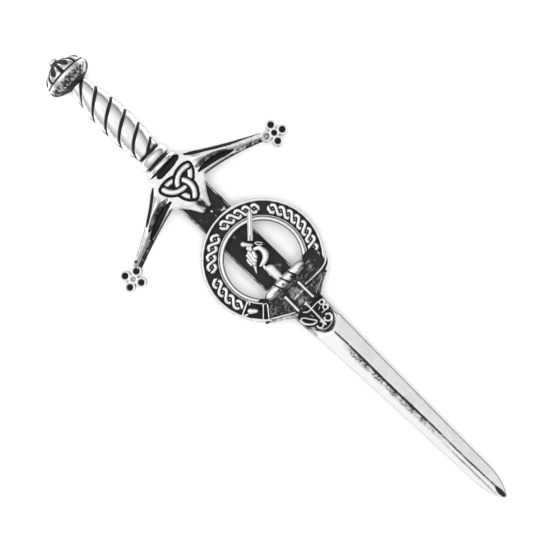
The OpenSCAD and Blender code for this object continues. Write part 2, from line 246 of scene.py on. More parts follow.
def hoop(x, y, top, polish_and_shade):
    """Solid under a polar height field with a hole: walls on both rims and a flat bottom."""
    rows, columns = x.shape
    points = np.stack([x, y, top], -1)
    inner, outer = (np.stack([x[k], y[k], np.zeros(columns)], -1)[None] for k in (0, -1))
    stack = np.concatenate([inner, points, outer])
    # Both walls keep only WALL_SHINE of their rim's polish: painted shade.
    shine = np.concatenate([WALL_SHINE * polish_and_shade[:1], polish_and_shade, WALL_SHINE * polish_and_shade[-1:]])
    quads = quads_of(rows + 2, columns, wrap=True)
    low, high = np.arange(columns), (rows + 1) * columns + np.arange(columns)
    floor = np.stack([low, high, np.roll(high, -1), np.roll(low, -1)], -1)
    return stack.reshape(-1, 3), np.vstack([quads, floor]), [], shine.ravel()


def roll_up(x, y, z, polish_and_shade):
    """Closed skin of rings: each row is a ring, and a point closes each end."""
    rows, columns = x.shape
    points = np.stack([x, y, z], -1).reshape(-1, 3)
    ends = np.stack([[a[0].mean(), a[-1].mean()] for a in (x, y, z)], -1)
    count = len(points)
    last = (rows - 1) * columns
    fans = [[(k + 1) % columns, k, count] for k in range(columns)]
    fans += [[last + k, last + (k + 1) % columns, count + 1] for k in range(columns)]
    shine = np.concatenate([polish_and_shade.ravel(), [polish_and_shade[0].mean(), polish_and_shade[-1].mean()]])
    return np.vstack([points, ends]), quads_of(rows, columns, wrap=True), fans, shine


def turned_grid(stations, radius, polish_and_shade):
    """Grid of a body of revolution: y = r sin a, height = axis + r cos a, never below 0."""
    angle = np.linspace(-math.pi, math.pi, radius.shape[1], endpoint=False)[None, :]
    x = np.broadcast_to(stations[:, None], radius.shape)
    y = radius * np.sin(angle)
    z = np.maximum(AXIS_HEIGHT + radius * np.cos(angle), 0.0)
    return x, y, z, polish_and_shade


def turned(stations, radius, polish_and_shade):
    """Closed body of revolution with a flat back."""
    return roll_up(*turned_grid(stations, radius, polish_and_shade))


def bead(path, width, low, high, polish_and_shade=1.0, taper=(1.0, 1.0)):
    """Rounded bar along a path: a superellipse section, closed by half-round ends.

    Half the width goes across the path and half of high minus low goes up. Near both ends the
    section shrinks as the square root of 1 - (1 - t)^2, where t is the distance to the end over
    half the width. taper scales the width from the first end to the last.
    """
    sides, squareness, sharpest = 20, 0.8, 0.02
    path = np.asarray(path, float)
    steps = np.hypot(*np.diff(path, axis=0).T)
    along = np.concatenate([[0.0], np.cumsum(steps)])
    half = width / 2
    ease = half * (1 - np.cos(np.linspace(0, math.pi / 2, 8)))
    reach = along[-1]
    at = np.concatenate([ease, np.linspace(half, reach - half, max(4, 3 * len(path))),
                         reach - ease[::-1]])
    at = np.unique(np.clip(at, 1e-4, reach - 1e-4))
    centre = np.stack([np.interp(at, along, path[:, k]) for k in (0, 1)], -1)
    heading = np.gradient(centre, axis=0)
    heading /= np.maximum(np.linalg.norm(heading, axis=1, keepdims=True), 1e-9)
    shrink = np.sqrt(1 - np.clip(1 - np.minimum(at, reach - at) / half, 0, 1) ** 2)
    shrink = np.maximum(shrink, sharpest)[:, None]
    wide = half * shrink * np.interp(at / reach, [0, 1], taper)[:, None]
    angle = np.linspace(0, 2 * math.pi, sides, endpoint=False)[None, :]
    across = wide * np.sign(np.cos(angle)) * np.abs(np.cos(angle)) ** squareness
    up = np.sign(np.sin(angle)) * np.abs(np.sin(angle)) ** squareness
    x = centre[:, :1] - heading[:, 1:] * across
    y = centre[:, 1:] + heading[:, :1] * across
    z = (low + high) / 2 + (high - low) / 2 * up * np.sqrt(shrink)
    shine = np.full(x.shape, polish_and_shade) * smooth(-0.9, 0.2, up + 0 * across)
    return roll_up(x, y, z, shine)


def make_piece(name, shells, material, node):
    """Joins closed shells into one piece, places it in the frame and gives it its material."""
    points, corners, starts, totals, shine = [], [], [], [], []
    base, loop = 0, 0
    for shell_points, quads, polygons, shell_shine in shells:
        points.append(shell_points)
        shine.append(shell_shine)
        corners.append((quads + base).ravel())
        starts.append(loop + 4 * np.arange(len(quads)))
        totals.append(np.full(len(quads), 4))
        loop += 4 * len(quads)
        for polygon in polygons:
            corners.append(np.asarray(polygon) + base)
            starts.append([loop])
            totals.append([len(polygon)])
            loop += len(polygon)
        base += len(shell_points)
    points = np.vstack(points) * MM
    points += np.array([START, 0.0, BACK]) * MM
    corners, starts, totals = (np.concatenate(a).astype(np.int32)
                               for a in (corners, starts, totals))
    mesh = bpy.data.meshes.new(name)
    mesh.vertices.add(len(points))
    mesh.vertices.foreach_set("co", points.astype(np.float32).ravel())
    mesh.loops.add(len(corners))
    mesh.loops.foreach_set("vertex_index", corners)
    mesh.polygons.add(len(starts))
    mesh.polygons.foreach_set("loop_start", starts)
    mesh.polygons.foreach_set("loop_total", totals)
    mesh.polygons.foreach_set("use_smooth", np.ones(len(starts), bool))
    # The polish attribute carries the patina and also painted shade and painted reflections.
    layer = mesh.attributes.new("polish_and_shade", "FLOAT", "POINT")
    layer.data.foreach_set("value", np.concatenate(shine).astype(np.float32))
    mesh.update(calc_edges=True)
    mesh.validate()
    work = bmesh.new()
    work.from_mesh(mesh)
    bmesh.ops.recalc_face_normals(work, faces=work.faces)
    work.to_mesh(mesh)
    work.free()
    mesh.set_sharp_from_angle(angle=math.radians(50))
    mesh.materials.append(material)
    piece = bpy.data.objects.new(name, mesh)
    bpy.context.scene.collection.objects.link(piece)
    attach(piece, "root")
    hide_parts(node)
    return piece


# Materials


def link(tree, *pairs):
    """Joins sockets two by two."""
    for source, target in pairs:
        tree.links.new(source, target)


def node_of(tree, kind, **settings):
    """Adds a shader node and sets its plain properties and its named inputs."""
    node = tree.nodes.new("ShaderNode" + kind)
    for key, value in settings.items():
        if hasattr(node, key):
            setattr(node, key, value)
        else:
            node.inputs[key.replace("_", " ")].default_value = value
    return node


def ramp_of(tree, source, stops):
    """Colour ramp over a socket, from rows of position and grey or colour."""
    ramp = node_of(tree, "ValToRGB")
    elements = ramp.color_ramp.elements
    while len(elements) < len(stops):
        elements.new(0.5)
    for element, (position, value) in zip(elements, stops):
        element.position = position
        element.color = (*value, 1) if isinstance(value, tuple) else (value, value, value, 1)
    link(tree, (source, ramp.inputs["Fac"]))
    return ramp


def antiqued_metal(name, bright, patina_and_shade, wear, roughness, grain):
    """Cast metal whose recesses are blackened and whose raised parts are polished.

    The piece's polish attribute, unsettled by fine noise, mixes the dark patina into the bright
    metal; where the attribute carries painted shade, the same dark colour paints that shade.
    wear shifts the balance, grain is the bump's depth in millimetres.
    """
    material = bpy.data.materials.new(name)
    material.use_nodes = True
    tree = material.node_tree
    tree.nodes.clear()
    out = node_of(tree, "OutputMaterial")
    shader = node_of(tree, "BsdfPrincipled")
    place = node_of(tree, "TexCoord")
    polish_and_shade = node_of(tree, "Attribute", attribute_name="polish_and_shade")
    speckle = node_of(tree, "TexNoise", Scale=2600.0, Detail=4.0, Roughness=0.65)
    cloud = node_of(tree, "TexNoise", Scale=420.0, Detail=3.0, Roughness=0.6)
    fine = node_of(tree, "TexNoise", Scale=5200.0, Detail=2.0)
    for texture in (speckle, cloud, fine):
        link(tree, (place.outputs["Object"], texture.inputs["Vector"]))
    spread = node_of(tree, "Math", operation="MULTIPLY_ADD")
    spread.inputs[1].default_value = 0.5
    spread.inputs[2].default_value = wear - 0.25
    shifted = node_of(tree, "Math", operation="ADD")
    clouded = node_of(tree, "Math", operation="MULTIPLY_ADD")
    clouded.inputs[1].default_value = 0.24
    link(
        tree,
        (speckle.outputs["Fac"], spread.inputs[0]),
        (cloud.outputs["Fac"], clouded.inputs[0]),
        (spread.outputs[0], clouded.inputs[2]),
        (polish_and_shade.outputs["Fac"], shifted.inputs[0]),
        (clouded.outputs[0], shifted.inputs[1]),
    )
    share = ramp_of(tree, shifted.outputs[0], [(0.3, 0.0), (0.62, 0.72), (0.95, 1.0)])
    colour = node_of(tree, "Mix", data_type="RGBA")
    colour.inputs["A"].default_value = (*patina_and_shade, 1)
    colour.inputs["B"].default_value = (*bright, 1)
    metal = ramp_of(tree, share.outputs["Color"], [(0.0, 0.35), (0.5, 1.0)])
    rough = ramp_of(tree, share.outputs["Color"], [(0.0, 0.62), (1.0, roughness)])
    relief = node_of(tree, "Bump", Strength=1.0, Distance=grain * MM)
    link(
        tree,
        (share.outputs["Color"], colour.inputs["Factor"]),
        (colour.outputs["Result"], shader.inputs["Base Color"]),
        (metal.outputs["Color"], shader.inputs["Metallic"]),
        (rough.outputs["Color"], shader.inputs["Roughness"]),
        (fine.outputs["Fac"], relief.inputs["Height"]),
        (relief.outputs["Normal"], shader.inputs["Normal"]),
        (shader.outputs["BSDF"], out.inputs["Surface"]),
    )
    return material


def satin_steel(name, colour):
    """Drawn and plated steel: fine lines along the stem in roughness and bump."""
    material = bpy.data.materials.new(name)
    material.use_nodes = True
    tree = material.node_tree
    shader = tree.nodes["Principled BSDF"]
    shader.inputs["Base Color"].default_value = (*colour, 1)
    shader.inputs["Metallic"].default_value = 1.0
    place = node_of(tree, "TexCoord")
    stretch = node_of(tree, "Mapping")
    stretch.inputs["Scale"].default_value = (60, 2400, 2400)
    lines = node_of(tree, "TexNoise", Scale=1.0, Detail=4.0, Roughness=0.6)
    relief = node_of(tree, "Bump", Strength=0.6, Distance=0.01 * MM)
    rough = ramp_of(tree, lines.outputs["Fac"], [(0.3, 0.24), (0.7, 0.42)])
    tint = ramp_of(tree, lines.outputs["Fac"], [
        (0.25, tuple(0.82 * c for c in colour)), (0.75, colour)
    ])
    link(
        tree,
        (place.outputs["Object"], stretch.inputs["Vector"]),
        (stretch.outputs["Vector"], lines.inputs["Vector"]),
        (lines.outputs["Fac"], relief.inputs["Height"]),
        (tint.outputs["Color"], shader.inputs["Base Color"]),
        (rough.outputs["Color"], shader.inputs["Roughness"]),
        (relief.outputs["Normal"], shader.inputs["Normal"]),
    )
    return material


MATERIALS = {}


def pewter(kind):
    """The pin's two pewter finishes, made once: bright and blackened."""
    if kind not in MATERIALS:
        look = bpy.context.scene.kilt_pin_finish
        wear = look.bright_wear if kind == "bright" else look.dark_wear
        MATERIALS[kind] = antiqued_metal(
            kind + "_pewter", tuple(look.metal), tuple(look.patina_and_shade), wear, look.roughness,
            look.grain,
        )
    return MATERIALS[kind]


# Hilt


def pommel_shell(lobes):
    """Lobed dome, plain band and dark underside.

    The radius is the turned profile less a groove along each lobe's edge and an oval pit in the
    middle of each lobe. The rings lean by bow x cos(angle), so that the band bows forward.
    """
    # Rows: station, radius
    table = np.array([
        (0.0, 0.2), (0.05, 0.6), (0.18, 0.86), (0.4, 1.0), (0.65, 1.0), (0.88, 0.84),
        (0.98, 0.95), (1.15, 1.52), (1.45, 2.12), (1.75, 2.62), (2.05, 3.02), (2.35, 3.32),
        (2.65, 3.52), (2.95, 3.66), (3.25, 3.75), (3.4, 3.64), (3.6, 3.84), (3.9, 3.89),
        (4.2, 3.87), (4.45, 3.77), (4.75, 3.5), (5.05, 3.1), (5.35, 2.58), (5.6, 1.98),
        (POMMEL_END, 1.6),
    ])
    groove_depth, pit_depth, seam_depth, stipple_depth = 0.3, 0.5, 0.14, 0.06
    pit_station, pit_half_length, pit_half_width = 2.1, 0.9, 0.62
    seam_station, bow, rim_radius = 3.4, 0.3, 3.6
    stations = np.unique(np.concatenate([np.linspace(0, POMMEL_END, 116), table[:, 0]]))
    profile = np.interp(stations, table[:, 0], table[:, 1])
    profile[3:-3] = np.convolve(profile, np.array([1, 2, 3, 2, 1]) / 9, "same")[3:-3]
    s = stations[:, None]
    angle = np.linspace(-math.pi, math.pi, 256, endpoint=False)[None, :]
    turn = angle * lobes / (2 * math.pi)
    arc = 2 * math.pi / lobes * profile[:, None]
    off_edge = np.abs(turn - np.round(turn)) * arc
    off_middle = np.abs(turn - np.floor(turn) - 0.5) * arc
    on_dome = smooth(0.95, 1.25, s) * smooth(seam_station, seam_station - 0.15, s)
    edge = on_dome * smooth(0.46, 0.2, off_edge)
    oval = ((s - pit_station) / pit_half_length) ** 2 + (off_middle / pit_half_width) ** 2
    drop = np.sqrt(np.clip(1 - oval, 0, 1))
    neck = smooth(0.8, 0.98, s) * smooth(1.6, 1.25, s) + 0 * angle
    seam = np.exp(-(((s - seam_station) / 0.13) ** 2)) + 0 * angle
    under = smooth(3.95, 4.75, s + 0.35 * np.cos(angle))
    stipple = under * ripple(s, rim_radius * angle, 0.18, 3)
    under = under * smooth(1.35, 0.75, np.abs(angle + 0.1))
    radius = profile[:, None] - groove_depth * edge - pit_depth * drop
    radius += stipple_depth * stipple - seam_depth * seam
    polish_and_shade = 1 - 1.2 * np.maximum.reduce([edge, smooth(0.0, 0.35, drop), 0.85 * seam, neck])
    # The stippled underside is darkened, and the dome's sides get painted shade.
    polish_and_shade -= under * (0.74 - 0.42 * np.clip(stipple, -0.4, 1)) + painted_side_shade(angle)
    polish_and_shade -= 0.9 * smooth(POMMEL_END - 0.55, POMMEL_END - 0.2, s)
    shaded = smooth(0.7, 1.1, np.abs(angle)) * smooth(3.6, 4.1, s)
    polish_and_shade -= shaded * (0.42 + 0.2 * ripple(s, rim_radius * angle, 0.25, 4))
    lean = bow * smooth(0.9, 2.2, s) * smooth(POMMEL_END - 0.1, 4.6, s) * np.cos(angle)
    x, y, z, shine = turned_grid(stations, np.maximum(radius, 0.03), polish_and_shade)
    return roll_up(x - lean, y + POMMEL_Y, z, shine)


def grip_shell(pitch, groove):
    """Tapered handle bound in a three-start spiral.

    Grooves lie where (station - start - skew (1 - cos a)) / pitch + 3 a / 2 pi is whole. Each
    band between them is crowned.
    """
    start, starts = POMMEL_END + 0.8, 3
    crown_height, groove_depth, skew = 0.14, 0.24, 0.5
    # Rows: distance from the pommel, share of the full radius
    rows = np.array([
        (0, 0.6), (1.6, 0.69), (3.6, 0.86), (5.6, 0.96), (8.6, 1), (10.6, 1), (12.6, 0.95),
        (14.6, 0.82), (15.7, 0.76),
    ])
    stations = np.linspace(POMMEL_END, GRIP_END, 280)
    full = (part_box("grip")[1].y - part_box("grip")[0].y) / MM / 2
    profile = full * np.interp(stations - POMMEL_END, rows[:, 0], rows[:, 1])
    for _ in range(12):
        profile[1:-1] = (profile[:-2] + 2 * profile[1:-1] + profile[2:]) / 4
    s = stations[:, None]
    angle = np.linspace(-math.pi, math.pi, 168, endpoint=False)[None, :]
    phase = (s - start - skew * (1 - np.cos(angle))) / pitch + starts * angle / (2 * math.pi)
    # Width of a band as it is counted here, as a share of the distance along the grip
    band_share = 0.707
    across = pitch * band_share
    away = np.abs(phase - np.round(phase)) * across
    middle = 0.5 * across
    crown = crown_height * (1 - ((middle - away) / middle) ** 2)
    cut = smooth(groove, groove * 0.35, away)
    # The line beside each groove on the grip's sides is a shallow cut darkened as a painted dark
    # reflection.
    line = np.exp(-(((away - 0.55) / 0.08) ** 2)) * smooth(0.45, 0.8, np.abs(np.sin(angle)))
    ends = smooth(0.0, 0.35, s - POMMEL_END) * smooth(0.0, 0.7, GRIP_END - s)
    grime = smooth(0.5, 1.2, ripple(s, 2.5 * angle, 1.1, 13))
    radius = profile[:, None] - crown_height + crown - groove_depth * cut - 0.03 * line
    radius += 0.015 * ripple(s, 2.5 * angle, 1.6, 11)
    # The grooves hold patina and grime is random dirt, while the grip's sides get painted shade.
    polish_and_shade = 1 - 1.2 * smooth(0.1, 0.6, cut) - 0.35 * line - painted_side_shade(angle) - 0.3 * grime
    polish_and_shade -= 0.95 * (1 - ends)
    return turned(stations, radius, polish_and_shade)


def collar_shell():
    """Wide bead, dark groove and thin bead round the sword, as a turned profile."""
    stations = np.linspace(GRIP_END, COLLAR_END, 110)
    wide_half, thin_half = 0.85, 0.42
    wide_at, thin_at = GRIP_END + 1.07, COLLAR_END - thin_half
    off_wide, off_thin = stations - wide_at, stations - thin_at
    wide = np.where(np.abs(off_wide) < wide_half, 1.9 + wide_half * bump(off_wide, wide_half), 0)
    thin = np.where(np.abs(off_thin) < thin_half, 2.53 + thin_half * bump(off_thin, thin_half), 0)
    neck = np.where(stations < wide_at, 1.85, 2.05)
    profile = np.maximum.reduce([neck, wide, thin])
    angle = np.linspace(-math.pi, math.pi, 140, endpoint=False)[None, :]
    shine = np.maximum(smooth(wide_half, 0.66, np.abs(off_wide)),
                       smooth(thin_half, 0.28, np.abs(off_thin + 0.06)))
    s = stations[:, None]
    dent = 0.03 * ripple(s, 2.6 * angle, 0.9, 5)
    radius = profile[:, None] + np.minimum(dent, 0)
    scuff = smooth(0.3, 1.2, ripple(0.6 * s, 4 * angle, 1.0, 6))
    # Scuffs are random, and the collar's sides get painted shade.
    polish_and_shade = 1.05 * shine[:, None] - 0.05 - 0.45 * scuff - painted_side_shade(angle)
    return turned(stations, radius, polish_and_shade)


# Guard

GUARD_HEIGHT = 2.1
GROUND_HEIGHT = 1.35
ARM_REACH = 14.45
KNOT_STATION = 28.6
KNOT_Y = 0.1
KNOT_STRETCH = 1.1
QUATREFOIL_STATION = 33.5
QUATREFOIL_INSET = 2.2
QUATREFOIL_TURN = math.radians(22)
QUATREFOIL_HEIGHT = 1.75
LOBE_RADIUS = 0.9
LOBE_OFFSET = 1.38
PIT_RADIUS = 0.5


def guard_edges(y):
    """The guard's hilt edge and blade edge as stations over y, from the arms' curves."""
    arms = [
        (quadratic((24.95, 3.3), (28.825, 8.85), (32.1, 14.9)),
         quadratic((30.1, 3.9), (30.85, 8.9), (33.6, 14.9))),
        (quadratic((24.95, 3.0), (29.525, 8.35), (32.1, 14.9)),
         quadratic((30.3, 3.9), (31.4, 8.9), (33.6, 14.9))),
    ]
    start = np.array([(COLLAR_END, 0.0), (COLLAR_END, 2.95)])
    langet = np.array([(34.4, 0.0), (34.4, 0.5), (34.1, 0.95), (32.6, 1.75), (31.2, 2.75),
                       (30.7, 3.2)])
    over = np.abs(y)
    edges = []
    for k, first in enumerate((start, langet)):
        sides = []
        for arm in arms:
            line = np.vstack([first, arm[k]])
            sides.append(np.interp(over, line[:, 1], line[:, 0]))
        edges.append(np.where(y >= 0, sides[0], sides[1]))
    return edges


def knot_relief(x, y, reach, middle):
    """Three-cornered knot: three arcs that pass over and under each other in turn.

    Each arc joins two corners and passes the middle at a distance, so its radius is
    (h^2 + a^2) / 2h with a half the chord and h the arc's rise over it. A ribbon's back is a
    round bump whose height goes as sin 2 pi t along the arc, with t from 0 to 1. Where it is the
    upper one it cuts a dark groove into the ribbon below. Returns the heights, the polish and the
    mask of sunk ground.
    """
    half, moat, beyond_middle = 0.46, 0.22, 0.66
    chord = reach * math.sqrt(3) / 2
    rise = reach / 2 + beyond_middle
    radius = (rise**2 + chord**2) / (2 * rise)
    span = 2 * math.asin(min(1.0, chord / radius))
    if rise > radius:
        span = 2 * math.pi - span
    ribbons = []
    nearest = np.full(x.shape, np.inf)
    for k in range(3):
        turn = math.radians(120 * k + 60)
        facing = turn + math.pi
        cx = middle + (radius - beyond_middle) * math.cos(turn)
        cy = (radius - beyond_middle) * math.sin(turn)
        bearing = (np.arctan2(y - cy, x - cx) - facing + math.pi) % (2 * math.pi) - math.pi
        clipped = np.clip(bearing, -span / 2, span / 2)
        off = np.hypot(x - (cx + radius * np.cos(clipped + facing)),
                       y - (cy + radius * np.sin(clipped + facing)))
        along = clipped / span + 0.5
        ribbons.append((off, np.sin(2 * math.pi * along)))
        nearest = np.minimum(nearest, off)
    ground = smooth(half + moat + 0.1, half + moat, nearest)
    ground = np.where(np.hypot(x - middle, y) < 0.45 * reach, 1.0, ground)
    height = np.full(x.shape, -np.inf)
    shine = np.zeros(x.shape)
    for k, (off, weave) in enumerate(ribbons):
        back = GROUND_HEIGHT + 0.3 + 0.16 * weave + 0.42 * bump(off, half)
        cut = np.zeros(x.shape)
        for other_off, other_weave in ribbons[:k] + ribbons[k + 1:]:
            above = other_weave > weave
            cut = np.maximum(cut, above * smooth(half + moat, half + 0.7 * moat, other_off))
        on = (off < half) & (cut < 0.5)
        height = np.where(on, np.maximum(height, back), height)
        shine = np.where(on, np.maximum(shine, smooth(half, 0.65 * half, off)), shine)
    return height, shine, ground


def arm_height(x, over, side, to_edge):
    """Height of the arms: a flank, a round crest over the median path and a low lip at the edges."""
    flank, crest, crest_half, lip = 1.7, 0.75, 0.7, 0.12
    # Points of each arm's crest: station, distance from the sword
    crests = {
        1: [(26.9, 3.4), (27.6, 5.4), (28.55, 7.4), (29.9, 9.6), (31.0, 11.6), (32.7, 14.9)],
        -1: [(27.1, 3.1), (27.9, 5.0), (28.9, 7.0), (30.0, 9.0), (31.0, 11.4), (32.4, 14.9)],
    }
    off = np.zeros(x.shape)
    for sign, points in crests.items():
        off = np.where(side == sign, path_distance(x, over, curve(points, 12))[0], off)
    return flank + crest * np.exp(-((off / crest_half) ** 2)) + lip * smooth(0.5, 0.2, to_edge)


def carve_arms(x, over, side, cast, height, polish_and_shade):
    """Sinks the arms' spindle-shaped hollows and end pits into the given height and polish."""
    # Rows: side, points, steps between two points, half width, depth, darkening. The deep hollows
    # hold patina, and the two shallow ones on the hilt side of them are painted shade
    hollows = [
        (1, [(29.1, 3.5), (29.2, 5.0), (29.6, 6.9), (30.15, 8.3), (30.65, 9.5)], 14, 0.52, 0.8, 1.3),
        (-1, [(29.35, 3.3), (29.5, 4.8), (29.95, 6.4), (30.6, 8.1), (31.15, 9.5)], 14,
         0.58, 0.8, 1.3),
        (1, [(28.3, 3.7), (28.6, 5.2), (29.2, 7.1), (29.9, 8.8)], 14, 0.62, 0.25, 0.62),
        (-1, [(28.6, 3.3), (28.8, 5.0), (29.3, 6.8), (30.1, 8.8)], 14, 0.62, 0.25, 0.62),
        (1, [(25.65, 3.8), (26.55, 5.1), (27.4, 6.6), (28.4, 8.2), (29.4, 9.8), (30.5, 11.7)], 12,
         0.5, 0.6, 1.3),
        (1, [(30.2, 11.2), (31.1, 13.0), (31.8, 14.4)], 12, 0.3, 0.3, 0.6),
        (-1, [(25.85, 3.6), (26.8, 4.9), (27.75, 6.2), (28.6, 7.5), (29.3, 8.6)], 14,
         0.36, 0.5, 1.2),
        (1, [(31.2, 10.0), (32.0, 12.0), (32.9, 14.2)], 12, 0.4, 0.2, 0.42),
        (-1, [(31.4, 9.5), (32.2, 11.6), (33.1, 14.4)], 12, 0.55, 0.25, 0.6),
    ]
    for sign, points, steps, half, depth, tarnish_and_shade in hollows:
        off, along = path_distance(x, over, curve(points, steps))
        width = half * np.clip(np.sin(np.pi * np.clip(along, 0.03, 0.97)), 0, 1) ** 0.4
        cut = smooth(width, 0.5 * width, off) * (side == sign)
        height -= depth * cut
        polish_and_shade -= tarnish_and_shade * cut * (1 + (0.15 * cast if tarnish_and_shade < 1 else 0))
    # Rows: side, station, distance from the sword, radius
    for sign, px, py, size in ((1, 32.8, 13.55, 0.26), (-1, 31.95, 13.75, 0.24)):
        dot = smooth(size, 0.4 * size, np.hypot(x - px, over - py)) * (side == sign)
        height -= 0.4 * dot
        polish_and_shade -= 1.1 * dot


def guard_shell(knot_reach):
    """Shield, langet and both arms as one height field between the two edges of the guard."""
    rows, columns = 500, 112
    y = np.linspace(-ARM_REACH, ARM_REACH, rows)[:, None]
    hilt, blade = guard_edges(y)
    share = 0.5 - 0.5 * np.cos(np.linspace(0, math.pi, columns))[None, :]
    x = hilt + (blade - hilt) * share
    yy = np.broadcast_to(y, x.shape)
    side = np.where(yy >= 0, 1.0, -1.0)
    over = np.abs(yy)
    slopes = [np.gradient(edge[:, 0], y[:, 0])[:, None] for edge in (hilt, blade)]
    to_hilt = (x - hilt) / np.sqrt(1 + slopes[0] ** 2)
    to_blade = (blade - x) / np.sqrt(1 + slopes[1] ** 2)
    to_edge = np.minimum(to_blade, to_hilt)
    cast = ripple(x, yy, 0.9, 22)
    polish_and_shade = 0.86 + 0.1 * ripple(x, yy, 1.7, 23)

    # The arms, grey and stippled towards their ends
    on_arm = smooth(3.4, 5.0, over)
    height = GUARD_HEIGHT * (1 - on_arm) + arm_height(x, over, side, to_edge) * on_arm
    carve_arms(x, over, side, cast, height, polish_and_shade)
    stippled = smooth(7.5, 10.0, over) * (0.55 + 0.9 * ripple(x, yy, 0.3, 25))
    rim_grey = smooth(0.62, 0.1, to_blade) * smooth(3.2, 4.2, over) * smooth(10.5, 9.0, over)
    polish_and_shade -= 0.3 * np.clip(stippled, 0, 1) + 0.6 * rim_grey

    # The knot's sunk ground and ribbons
    knot_y = (yy - KNOT_Y) / KNOT_STRETCH
    ribbon, shine, pit = knot_relief(x, knot_y, knot_reach, KNOT_STATION)
    height = height * (1 - pit) + GROUND_HEIGHT * pit
    polish_and_shade = polish_and_shade * (1 - pit) - 0.1 * pit
    lifted = ribbon > height
    height = np.where(lifted, ribbon, height)
    polish_and_shade = np.where(lifted, shine, polish_and_shade)

    # Ragged slot beside the collar, and the shallow grey middle of the langet
    middle = COLLAR_END + 0.55 - 0.06 * yy
    wide = 0.55 * np.clip(1 - ((yy - 0.5) / 2.45) ** 4, 0, 1) ** 0.5 + 0.04 * cast
    slot = smooth(wide + 0.05, wide - 0.08, np.abs(x - middle)) * (np.abs(yy - 0.5) < 2.5)
    langet = smooth(31.9, 32.5, x) * smooth(0.85, 0.3, over)
    grime = 0.25 * smooth(30.4, 31.0, x) * smooth(0.4, 1.1, cast + 0.6) * (over < 3)
    height -= 0.75 * slot + 0.2 * langet * smooth(34.3, 33.8, x)
    polish_and_shade -= 1.3 * slot + 0.5 * langet + 0.5 * smooth(33.7, 34.4, x)

    height += 0.015 * ripple(x, yy, 1.4, 21)
    height -= edge_round(to_edge, 0.3) * np.where(over < 3.2, 0.8, 1.0)
    polish_and_shade -= 0.6 * smooth(0.16, 0.0, to_edge) * on_arm + grime
    return slab(x, yy, height, polish_and_shade)


def quatrefoil_shell(middle, turn, shallow):
    """Four lobes round a middle, each with a round pit.

    The rim is the farthest of four circles. Near each pit the metal stands up in a bead and drops
    into the pit. shallow is the number of the pit that is half filled, where 4 is the middle one.
    """
    columns = 192
    angle = np.linspace(0, 2 * math.pi, columns, endpoint=False)[None, :]
    nearest = np.abs((angle + math.pi / 4) % (math.pi / 2) - math.pi / 4)
    beside = LOBE_OFFSET * np.sin(nearest)
    reach = LOBE_OFFSET * np.cos(nearest) + np.sqrt(np.clip(LOBE_RADIUS**2 - beside**2, 0, None))
    share = (np.linspace(0.004, 1, 68) ** 0.8)[:, None]
    dx, dy = share * reach * np.cos(angle), share * reach * np.sin(angle)
    height = np.full(dx.shape, QUATREFOIL_HEIGHT)
    polish_and_shade = np.full(dx.shape, 0.75)
    # Rows: x, y, radius, pit's radius
    centres = []
    for bearing in np.arange(4) * math.pi / 2:
        at = (LOBE_OFFSET * math.cos(bearing), LOBE_OFFSET * math.sin(bearing))
        centres.append((*at, LOBE_RADIUS, PIT_RADIUS))
    centres.append((0.0, 0.0, 0.8, 0.45 if shallow < 4 else 0.34))
    for cx, cy, wide, hole in centres:
        q = np.hypot(dx - cx, dy - cy)
        back = QUATREFOIL_HEIGHT + 0.4 * bump(q - (wide + hole) / 2, (wide - hole) / 2 + 0.08)
        height = np.where(q < wide, np.maximum(height, back), height)
        polish_and_shade = np.where(q < wide, np.maximum(polish_and_shade, 0.95), polish_and_shade)
    for k, (cx, cy, wide, hole) in enumerate(centres):
        q = np.hypot(dx - cx, dy - cy) + 0.05 * ripple(dx, dy, 0.8, 24 + k)
        floor = 1.6 if k == shallow else 1.0
        height = np.where(q < hole, floor + 0.2 * (q / hole) ** 2, height)
        dark = smooth(hole + 0.03, hole - 0.1, q) * (0.62 if k == shallow else 1.2)
        polish_and_shade = polish_and_shade - dark + (0.5 * smooth(0.2, 0.05, q) if k == shallow else 0)
    to_rim = (1 - share) * reach
    height -= edge_round(to_rim, 0.22)
    polish_and_shade -= 0.45 * smooth(0.14, 0.0, to_rim)
    turned_x = dx * math.cos(turn) - dy * math.sin(turn)
    turned_y = dx * math.sin(turn) + dy * math.cos(turn)
    return disc(middle[0] + turned_x, middle[1] + turned_y, height, polish_and_shade)


# Blade

STRIP_HEIGHT = 0.9
STRIP_RIM_HEIGHT = 1.15
STRIP_END = 61.3
TAPER_START = 56.3


def blade_half(station):
    """Half of the blade's width: straight under the ring, a slightly hollow taper, a round point.

    The taper goes as (1 - t)^1.25 and the point as (1 - u^2)^0.75.
    """
    root, waist, point, point_length = BLADE_WIDTH / 2, 2.8, 1.8, 5.7
    start = LENGTH - point_length
    t = np.clip((station - TAPER_START) / (start - TAPER_START), 0, 1)
    u = np.clip((station - start) / point_length, 0, 1)
    straight = root + (waist - root) * (station - GUARD_ROOT) / (TAPER_START - GUARD_ROOT)
    taper = point + (waist - point) * (1 - t) ** 1.25
    body = np.where(station < TAPER_START, straight, taper)
    return np.where(station < start, body, point * (1 - u**2) ** 0.75)


